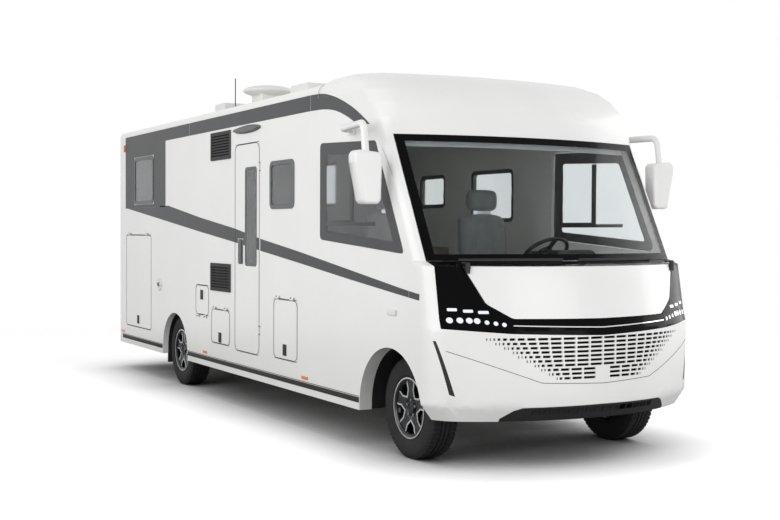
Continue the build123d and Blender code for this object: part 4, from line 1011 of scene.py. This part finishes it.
@dataclass
class CabSeat:
    """Padded captain's seat: cushion, reclined back, head rest, arm rests and pedestal."""

    y: float
    tag: str
    x: float = FRONT_AXLE - 1.010
    fill: float = 0.6
    # Rounding of a pad's edges as a share of its half thickness, and the pull of a full crown
    rounding: float = 0.55
    pull: float = 0.12
    # Name, low and high corner from the seat's middle on the ground, crown from 0 to 1, and lean of the top
    pads: Sequence[tuple[str, Point3, Point3, float, float]] = (
        ("cushion", (-0.255, -0.25, 0.905), (0.27, 0.25, 1.065), 0.7, 0.0),
        ("back", (-0.252, -0.24, 1.04), (-0.125, 0.24, 1.80), 0.7, 0.08),
        ("head", (-0.315, -0.15, 1.815), (-0.205, 0.15, 2.003), 0.9, 0.0),
        ("arm_right", (-0.24, -0.32, 1.23), (0.13, -0.26, 1.29), 0.3, 0.0),
        ("arm_left", (-0.24, 0.26, 1.23), (0.13, 0.32, 1.29), 0.3, 0.0),
    )
    # Name, low and high corner, radius of the edges and finish
    fittings: Sequence[tuple[str, Point3, Point3, float, Finish]] = (
        ("arm_hub_right", (-0.235, -0.275, 1.24), (-0.155, -0.225, 1.28), 0.008, BLACK_GRAIN),
        ("arm_hub_left", (-0.235, 0.225, 1.24), (-0.155, 0.275, 1.28), 0.008, BLACK_GRAIN),
        ("pedestal", (-0.19, -0.19, 0.560), (0.17, 0.19, 0.905), 0.02, BLACK_GRAIN),
        ("head_posts", (-0.277, -0.09, 1.775), (-0.247, 0.09, 1.83), 0.006, ZINC_STEEL),
    )

    def spot(self, corner: Point3) -> Vector:
        """Place a corner of the seat in the frame."""
        return Vector(corner) + Vector((self.x, self.y, 0.0))

    def pad(self, name: str, low: Vector, high: Vector, crown: float, lean: float) -> Piece:
        """Model a crowned pad whose sides pull in between its corners.

        Args:
            name: name of the piece.
            low: low corner.
            high: high corner.
            crown: how far the pad is rounded, from 0 to 1.
            lean: how far its top leans back.

        Returns:
            The finished pad.
        """
        piece = block(name, low, high)
        centre, half = (low + high) / 2, (high - low) / 2
        with editing(piece, "EDGE"):
            bpy.ops.mesh.bevel(offset=min(half) * self.rounding, segments=3, affect="EDGES")
            bpy.ops.mesh.subdivide(number_cuts=3)
        for vertex in piece.data.vertices:
            away = vertex.co - centre
            bow = [min(1.0, abs(away[axis]) / half[axis]) ** 2 for axis in range(3)]
            kept = [1 - crown * self.pull * (sum(bow) - bow[axis]) for axis in range(3)]
            vertex.co = centre + Vector([away[axis] * kept[axis] for axis in range(3)])
            vertex.co.x -= lean * (away.z / half.z + 1) / 2
        finish_with(piece, "SUBSURF", levels=1, render_levels=1)
        smooth(piece, 60.0)
        return piece

    def build(self) -> None:
        """Model the seat and let it stand for the plain solid."""
        for part, low, high, crown, lean in self.pads:
            piece = self.pad(f"seat_{part}_{self.tag}", self.spot(low), self.spot(high), crown, lean)
            hand_over(piece, GREY_CLOTH, stands_for="seats")
        for part, low, high, edge, finish in self.fittings:
            piece = bar(f"seat_{part}_{self.tag}", self.spot(low), self.spot(high), edge)
            hand_over(piece, finish, stands_for="seats")


@dataclass
class ScreenTrim:
    """Enamel border printed round the windscreen."""

    top_z: float = 2.338
    foot_z: float = 1.437
    half: float = 1.0810
    top_w: float = 0.050
    foot_w: float = 0.045
    side_w: float = 0.062

    def build(self) -> None:
        """Print the four strips of the border on the pane."""
        inner = self.half - self.side_w
        low, high = self.foot_z + self.foot_w, self.top_z - self.top_w
        strips = {
            "top": (-self.half, self.half, high, self.top_z),
            "foot": (-self.half, self.half, self.foot_z, low),
            "right": (-self.half, -inner, low, high),
            "left": (inner, self.half, low, high),
        }
        for name, (y0, y1, z0, z1) in strips.items():
            columns, rows = (80, 4) if name in ("top", "foot") else (10, 30)
            film = Film(f"screen_border_{name}", ((y0, z0), (y1, z0)), ((y0, z1), (y1, z1)), "windscreen",
                        columns=columns, rows=rows)
            hand_over(film.build(Side.FRONT), PIANO_BLACK)


@dataclass
class NoseTrim:
    """Chrome strip in the lamp band, the open seam under the grille and the dark radiator behind it."""

    strip: Sequence[Point2] = ((-0.655, 1.002), (0.0, 0.982), (0.655, 1.002))
    strip_height: float = 0.007
    strip_thick: float = 0.003
    seam: Sequence[Point2] = ((-1.058, 0.837), (-0.466, 0.620), (0.0, 0.603), (0.466, 0.620), (1.058, 0.837))
    seam_depth: Point2 = (0.0045, 0.0010)
    radiator_low: Point3 = (3.4950, -0.720, 0.500)
    radiator_high: Point3 = (3.5030, 0.720, 0.960)
    radiator_edge: float = 0.002

    def build(self) -> None:
        """Lay the strip and the seam on their panels, and set the radiator behind the grille."""
        upper = [(y, z + self.strip_height) for y, z in self.strip]
        film = Film("chrome_strip", self.strip, upper, "lamp_mask", thick=self.strip_thick, columns=60)
        hand_over(film.build(Side.FRONT), CHROME)
        low, high = ([(y, z - down) for y, z in self.seam] for down in self.seam_depth)
        film = Film("grille_seam", low, high, "front_bumper", columns=120, rows=1)
        hand_over(film.build(Side.FRONT), RUBBER_AND_PAINTED_SHADE)
        radiator = bar("radiator_face", self.radiator_low, self.radiator_high, self.radiator_edge)
        hand_over(radiator, RUBBER_AND_PAINTED_SHADE)


@dataclass
class SideTrim:
    """Trim of the walls: skirt inserts, latches, dark plates of painted shade behind the vents, filler lock,
    wing boxes, markers, the frames in the cab windows, and the blank rear plate."""

    insert_rows: Sequence[Point2] = ((0.3535, 0.3945), (0.4000, 0.4045))
    insert_y: Point2 = (1.1463, 1.1497)
    insert_runs: Sequence[Point2] = ((-1.406, 2.452), (-3.743, -2.224))
    line_out: float = 0.0041
    # Runs from the front axle, and heights, of the vents, with a dark plate of painted shade behind their
    # slots
    vents: Sequence[Box2] = ((-3.635, -3.112, 2.315, 2.583), (-3.640, -3.110, 1.056, 1.324))
    vent_edge: float = 0.024
    vent_y: Point2 = (HALF - 0.008, HALF - 0.014)
    plate_low: Point3 = (-3.8995, -0.260, 0.620)
    plate_high: Point3 = (-3.8954, 0.260, 0.732)
    lock_r: float = 0.022
    lock_depth: float = 0.004
    lock_gap: float = 0.0002
    lock_edge: float = 0.0012
    latch_half: Point2 = (0.038, 0.048)
    latch_y: Point2 = (HALF + 0.0052, HALF + 0.0082)
    # Body, run from the front axle, height and side
    latches: Sequence[tuple[str, float, float, int]] = (
        ("garage_door_right", -6.031, 0.612, -1),
        ("garage_door_left", -6.031, 0.612, 1),
        ("gas_hatch", -3.892, 1.000, -1),
        ("tank_hatch", -3.380, 0.612, -1),
        ("locker_hatch", -1.839, 0.628, -1),
    )
    wing_box: Box2 = (2.905, 3.030, 1.042, 1.086)
    wing_out: float = 0.014
    marker: Box2 = (-3.668, -3.632, 2.566, 2.648)
    marker_out: float = 0.016
    soft_edge: float = 0.005
    border_outer: Sequence[Point2] = ((1.767, 2.334), (2.702, 2.298), (3.134, 1.480), (1.767, 1.572))
    border_inner: Sequence[Point2] = ((1.889, 2.236), (2.640, 2.206), (2.976, 1.564), (1.889, 1.638))
    border_round: Point2 = (0.045, 0.030)
    pane_post: Box2 = (2.290, 2.352, 1.720, 2.212)
    pane_foot: Box2 = (1.890, 2.352, 1.706, 1.720)
    pane_rail: Box2 = (1.890, 2.700, 1.678, 1.706)
    pane_out: float = 0.0012
    pane_edge: float = 0.0002

    def pair(self, name: str, box: Box2, out: Point2, edge: float, finish: Finish) -> None:
        """Set a bar on the left wall and its twin on the right.

        Args:
            name: name of the pair.
            box: ends and heights.
            out: distances of the back and the face from the middle plane.
            edge: radius of the edges.
            finish: what it is made of.
        """
        for side in reversed(WALLS):
            hand_over(wall_bar(f"{name}_{side.name.lower()}", box, out, side.value, edge), finish)

    def lock(self, cap: Piece) -> None:
        """Set the black lock on the middle of the filler's cap.

        Args:
            cap: solid of the cap.
        """
        corners = [cap.matrix_world @ Vector(corner) for corner in cap.bound_box]
        x, z = (sum(corner[axis] for corner in corners) / len(corners) for axis in (0, 2))
        front = min(corner.y for corner in corners) - self.lock_depth / 2 - self.lock_gap
        piece = primitive("filler_lock", bpy.ops.mesh.primitive_cylinder_add, vertices=40, radius=self.lock_r,
                          depth=self.lock_depth, location=(x, front, z), rotation=(math.pi / 2, 0, 0))
        finish_with(piece, "BEVEL", width=self.lock_edge, segments=2, limit_method="ANGLE")
        hand_over(piece, BLACK_GRAIN)

    def cab_panes(self) -> None:
        """Print the border of each cab window and set the post, the foot and the rail of its sliding pane."""
        outer, inner = map(rounded, (self.border_outer, self.border_inner), self.border_round)
        for side in WALLS:
            film = Film(f"cab_border_{side.name.lower()}", outer, inner, columns=len(outer) - 1, rows=1,
                        paired=True)
            hand_over(film.build(side), FILM_GREY)
        bars = {"post": self.pane_post, "foot": self.pane_foot, "rail": self.pane_rail}
        out = (HALF + TRIM_GAP, HALF + self.pane_out)
        for name, box in bars.items():
            self.pair(f"cab_pane_{name}", box, out, self.pane_edge, FILM_GREY)

    def build(self, nodes: dict[str, Piece]) -> None:
        """Model the trim of both sides and of the back.

        Args:
            nodes: the frame's solids by name.
        """
        self.lock(nodes["filler_cap"])
        hand_over(bar("blank_rear_plate", self.plate_low, self.plate_high, MM), WHITE_ABS)
        # Dark plates behind the vent slots: painted shade standing for the shaded cavity behind them
        for index, (x0, x1, z0, z1) in enumerate(self.vents):
            edge = self.vent_edge
            box = (FRONT_AXLE + x0 + edge, FRONT_AXLE + x1 - edge, z0 + edge, z1 - edge)
            hand_over(wall_bar(f"vent_back_{index}", box, self.vent_y, Side.RIGHT.value), RUBBER_AND_PAINTED_SHADE)
        for row, heights in enumerate(self.insert_rows):
            near, far = (y + row * self.line_out for y in self.insert_y)
            for index, run in enumerate(self.insert_runs):
                self.pair(f"skirt_insert_{row}_{index}", (*run, *heights), (near, far), MM, BLACK_GRAIN)
        wide, tall = self.latch_half
        for body, run, z, sign in self.latches:
            x = FRONT_AXLE + run
            piece = wall_bar(f"latch_{body}", (x - wide, x + wide, z - tall, z + tall), self.latch_y, sign)
            hand_over(piece, BLACK_GRAIN, body)
        back = HALF + TRIM_GAP
        self.pair("wing_box", self.wing_box, (back, HALF + self.wing_out), self.soft_edge, WHITE_ABS)
        self.pair("top_marker", self.marker, (back, HALF + self.marker_out), self.soft_edge, AMBER_LENS)
        self.cab_panes()


@dataclass
class Seals:
    """Dark joint lines just inside the edges of the doors and hatches, rounded like their rubber seals."""

    width: float = 0.0050
    inset: float = 0.0065
    lift: float = 0.0016
    # Body, runs from the front axle, heights, start of the corners' curves and side
    lids: Sequence[tuple[str, Point2, Point2, float, int]] = (
        ("entrance_door", (-3.008, -2.408), (0.522, 2.435), 0.075, -1),
        ("garage_door_right", (-6.520, -5.550), (0.515, 1.590), 0.045, -1),
        ("garage_door_left", (-6.520, -5.550), (0.515, 1.590), 0.045, 1),
        ("gas_hatch", (-4.085, -3.700), (0.795, 1.100), 0.055, -1),
        ("tank_hatch", (-3.632, -3.128), (0.545, 0.885), 0.055, -1),
        ("locker_hatch", (-2.092, -1.586), (0.540, 1.062), 0.060, -1),
    )

    def build(self) -> None:
        """Model a flat ring on every lid."""
        for body, (x0, x1), (z0, z1), corner, sign in self.lids:
            runs = (FRONT_AXLE + x0 + self.inset, FRONT_AXLE + x1 - self.inset)
            y = sign * (HALF + self.lift)
            corners = [(x, y, z) for z in (z0 + self.inset, z1 - self.inset) for x in runs]
            piece = plate(f"seal_{body}", corners, corner, 8)
            hollow(piece, self.width)
            thicken(piece, (0, sign, 0), FILM)
            hand_over(piece, RUBBER_AND_PAINTED_SHADE, body)


@dataclass
class Mirrors:
    """Silvered glass on the back of both mirror housings."""

    x: float = FRONT_AXLE - 0.0556
    inner: float = 1.262
    outer: float = 1.428
    foot_outer: float = 1.372
    foot_z: float = 1.862
    top_z: float = 2.168
    corner: float = 0.035
    thick: float = 0.003

    def build(self) -> None:
        """Model the glass with rounded corners, wider at its top, and set one on each side."""
        outline = ((self.inner, self.foot_z), (self.foot_outer, self.foot_z), (self.inner, self.top_z),
                   (self.outer, self.top_z))
        for side in WALLS:
            corners = [(self.x, side.value * y, z) for y, z in outline]
            piece = plate(f"mirror_glass_{side.name.lower()}", corners, self.corner, 6)
            thicken(piece, (-1, 0, 0), self.thick)
            hand_over(piece, MIRROR_GLASS)


@dataclass
class RoofTrim:
    """Aerial dish and raised lids near the right edge of the roof."""

    roof_z: float = 2.8055
    dish_spot: Point3 = (-0.716, -0.550, 3.030)
    dish_half: Point3 = (0.250, 0.250, 0.055)
    foot_half: float = 0.130
    foot_edge: float = 0.025
    foot_overlap: float = 0.020
    # Runs along the vehicle and across it, and the top's height
    lids: Sequence[tuple[Point2, Point2, float]] = (
        ((-1.560, -1.290), (-0.800, -0.400), 2.960),
        ((0.270, 0.640), (-0.750, -0.330), 2.968),
    )
    lid_edge: float = 0.018

    def build(self) -> None:
        """Model the flat round dish on its foot, and the lids."""
        dish = primitive("roof_dish", bpy.ops.mesh.primitive_uv_sphere_add, self.dish_half, segments=48,
                         ring_count=24, radius=1.0, location=self.dish_spot)
        smooth(dish, 60.0)
        hand_over(dish, WHITE_ABS)
        x, y, z = self.dish_spot
        half = self.foot_half
        top = z - self.foot_overlap
        foot = bar("roof_dish_foot", (x - half, y - half, self.roof_z), (x + half, y + half, top),
                   self.foot_edge)
        hand_over(foot, WHITE_ABS)
        for index, ((x0, x1), (y0, y1), top) in enumerate(self.lids):
            lid = bar(f"roof_lid_{index}", (x0, y0, self.roof_z), (x1, y1, top), self.lid_edge)
            hand_over(lid, WHITE_ABS)


@dataclass
class Skins:
    """Smooth skins for the moulded solids, in exactly their form."""

    moulded: Sequence[str] = ("front_cap", "front_bumper", "grille", "bonnet", "mirrors", "roof_units",
                              "lamp_mask", "windscreen")
    sharp: float = 28.0
    hinge_y: float = 0.880
    hinge_z: float = 1.360
    whip: Point2 = (FRONT_AXLE - 4.150, -0.700)
    whip_r: float = 0.040

    def skin(self, node: Piece) -> Piece:
        """Copy a solid's mesh, merge its triangles and shade it smooth.

        Args:
            node: solid of the frame.

        Returns:
            The skin.
        """
        piece = bpy.data.objects.new(f"{node.name}_skin", node.data.copy())
        bpy.context.collection.objects.link(piece)
        with editing(piece):
            bpy.ops.mesh.remove_doubles(threshold=MM / 1000)
        smooth(piece, self.sharp)
        finish_with(piece, "WEIGHTED_NORMAL", keep_sharp=True)
        return piece

    def is_dark(self, name: str, centre: Vector) -> bool:
        """Tell whether a face is on a black hinge of the bonnet or on the whip on the roof.

        Args:
            name: name of the moulded solid.
            centre: middle of the face.

        Returns:
            True on a black fitting.
        """
        if name == "bonnet":
            return abs(centre.y) > self.hinge_y and centre.z > self.hinge_z
        if name == "roof_units":
            return math.hypot(centre.x - self.whip[0], centre.y - self.whip[1]) < self.whip_r
        return False

    def build(self, nodes: dict[str, Piece]) -> None:
        """Lay a skin over every moulded solid, with its black fittings.

        Args:
            nodes: the frame's solids by name.
        """
        for name in self.moulded:
            piece = self.skin(nodes[name])
            hand_over(piece, FINISH_OF[name], "bonnet" if name == "bonnet" else "body", name)
            dark = [self.is_dark(name, face.center) for face in piece.data.polygons]
            if any(dark):
                piece.data.materials.append(PALETTE.get(BLACK_GRAIN))
                piece.data.polygons.foreach_set("material_index", [int(flag) for flag in dark])


@dataclass
class Studio:
    """Plain pale floor, white surround, soft lamps and the camera at the photograph's angle."""

    eye: Point3 = (10.420, -5.250, 1.635)
    forward: Point3 = (-0.87694, 0.48002, -0.02355)
    right: Point3 = (0.48006, 0.87722, 0.00448)
    lens: float = 55.385
    sensor: float = 36.0
    sight: float = 500.0
    floor_size: float = 160.0
    # Brightness of the floor to the eye and to other light, and where it fades into the surround
    floor_shown: float = 1.58
    floor_bounce: float = 0.45
    floor_fade: Point2 = (5.6, 10.0)
    # Reach and power of the painted contact shadow that darkens the floor's colour where the vehicle stands
    # close over it
    painted_contact_shadow: Point2 = (0.8, 1.0)
    ambient: float = 0.55
    aim: Point3 = (0.0, 0.0, 1.0)
    # Name, place, size and power
    lamps: Sequence[tuple[str, Point3, float, float]] = (
        ("soft_side", (3.5, -10.5, 4.4), 8.0, 520.0),
        ("soft_front", (12.5, 1.5, 2.2), 6.0, 300.0),
        ("soft_left", (3.0, 10.5, 4.4), 8.0, 400.0),
    )

    def camera(self) -> None:
        """Place the camera."""
        data = bpy.data.cameras.new("photo_camera")
        data.sensor_fit = "HORIZONTAL"
        data.sensor_width = self.sensor
        data.lens = self.lens
        data.clip_end = self.sight
        eye = bpy.data.objects.new("photo_camera", data)
        bpy.context.collection.objects.link(eye)
        ahead = Vector(self.forward).normalized()
        across = Vector(self.right).normalized()
        turn = Matrix((across, across.cross(ahead), -ahead)).transposed().to_4x4()
        eye.matrix_world = Matrix.Translation(self.eye) @ turn
        bpy.context.scene.camera = eye

    def floor(self) -> None:
        """Lay the floor: as bright as the surround to the eye where no shadow falls, pale to other light,
        with a painted contact shadow that darkens its colour near the vehicle.
        """
        piece = primitive("studio_floor", bpy.ops.mesh.primitive_plane_add, size=self.floor_size)
        with editing(piece, "EDGE"):
            bpy.ops.mesh.subdivide(number_cuts=3)
        material = bpy.data.materials.new("pale_studio_floor")
        tree = fresh_tree(material)
        path = add_node(tree, "ShaderNodeLightPath")
        tone = add_node(tree, "ShaderNodeMapRange", {"To Min": self.floor_bounce, "To Max": self.floor_shown},
                        {"Value": (path, "Is Camera Ray")})
        reach, power = self.painted_contact_shadow
        # Painted contact shadow: ambient occlusion darkens the floor's colour near the vehicle, for every ray
        painted_shadow_occlusion = add_node(tree, "ShaderNodeAmbientOcclusion", {"Distance": reach}, samples=8)
        deep = add_node(tree, "ShaderNodeMath", {1: power}, {0: (painted_shadow_occlusion, "AO")}, operation="POWER")
        shaded = add_node(tree, "ShaderNodeMath", None, {0: (tone, "Result"), 1: (deep, "Value")},
                          operation="MULTIPLY")
        matt = add_node(tree, "ShaderNodeBsdfDiffuse", None, {"Color": (shaded, "Value")})
        place = add_node(tree, "ShaderNodeTexCoord")
        distance = add_node(tree, "ShaderNodeVectorMath", None, {0: (place, "Object")}, operation="LENGTH")
        near, far = self.floor_fade
        fade = add_node(tree, "ShaderNodeMapRange", {"From Min": near, "From Max": far},
                        {"Value": (distance, "Value")})
        clear = add_node(tree, "ShaderNodeBsdfTransparent")
        shown = add_node(tree, "ShaderNodeMixShader", None,
                         {"Fac": (fade, "Result"), 1: (matt, "BSDF"), 2: (clear, "BSDF")})
        add_node(tree, "ShaderNodeOutputMaterial", None, {"Surface": (shown, "Shader")})
        piece.data.materials.append(material)

    def surround(self) -> None:
        """Light the scene all round, and show plain white to the eye, in gloss and through glass."""
        world = bpy.data.worlds.new("studio")
        bpy.context.scene.world = world
        tree = fresh_tree(world)
        path = add_node(tree, "ShaderNodeLightPath")
        seen = add_node(tree, "ShaderNodeMath", None,
                        {0: (path, "Is Camera Ray"), 1: (path, "Is Transmission Ray")}, operation="MAXIMUM")
        shown = add_node(tree, "ShaderNodeMath", None, {0: (seen, "Value"), 1: (path, "Is Glossy Ray")},
                         operation="MAXIMUM")
        light, white = (add_node(tree, "ShaderNodeBackground", {"Color": (1, 1, 1, 1), "Strength": strength})
                        for strength in (self.ambient, 1.0))
        both = add_node(tree, "ShaderNodeMixShader", None,
                        {"Fac": (shown, "Value"), 1: (light, "Background"), 2: (white, "Background")})
        add_node(tree, "ShaderNodeOutputWorld", None, {"Surface": (both, "Shader")})

    def light(self) -> None:
        """Hang the large soft lamps off the vehicle's sides and off its front."""
        for name, spot, size, power in self.lamps:
            data = bpy.data.lights.new(name, "AREA")
            data.energy = power
            data.shape = "SQUARE"
            data.size = size
            lamp = bpy.data.objects.new(name, data)
            bpy.context.collection.objects.link(lamp)
            turn = (Vector(self.aim) - Vector(spot)).to_track_quat("-Z", "Y")
            lamp.matrix_world = Matrix.Translation(spot) @ turn.to_matrix().to_4x4()

    def build(self) -> None:
        """Set up the stage."""
        self.camera()
        self.floor()
        self.surround()
        self.light()
        bpy.context.scene.view_settings.view_transform = "Standard"


def dress_nodes(nodes: dict[str, Piece]) -> None:
    """Give every solid of the frame its finish.

    Args:
        nodes: the frame's solids by name.
    """
    for name, finish in FINISH_OF.items():
        PALETTE.dress(nodes[name], finish)
        LOG.info("%s: %s", name, finish.name)
    for name in sorted(set(nodes) - set(FINISH_OF)):
        LOG.warning("%s has no finish", name)


def main() -> None:
    """Load the frame, dress it, build every piece and set the stage."""
    logging.basicConfig(level=logging.INFO, format="%(name)s %(message)s")
    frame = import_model()
    dress_nodes(frame["nodes"])
    Graphics().build()
    Wheel().build()
    CabSeat(-0.45, "right").build()
    CabSeat(0.45, "left").build()
    ScreenTrim().build()
    NoseTrim().build()
    SideTrim().build(frame["nodes"])
    Seals().build()
    Mirrors().build()
    RoofTrim().build()
    Skins().build(frame["nodes"])
    Studio().build()


if __name__ == "__main__":
    main()
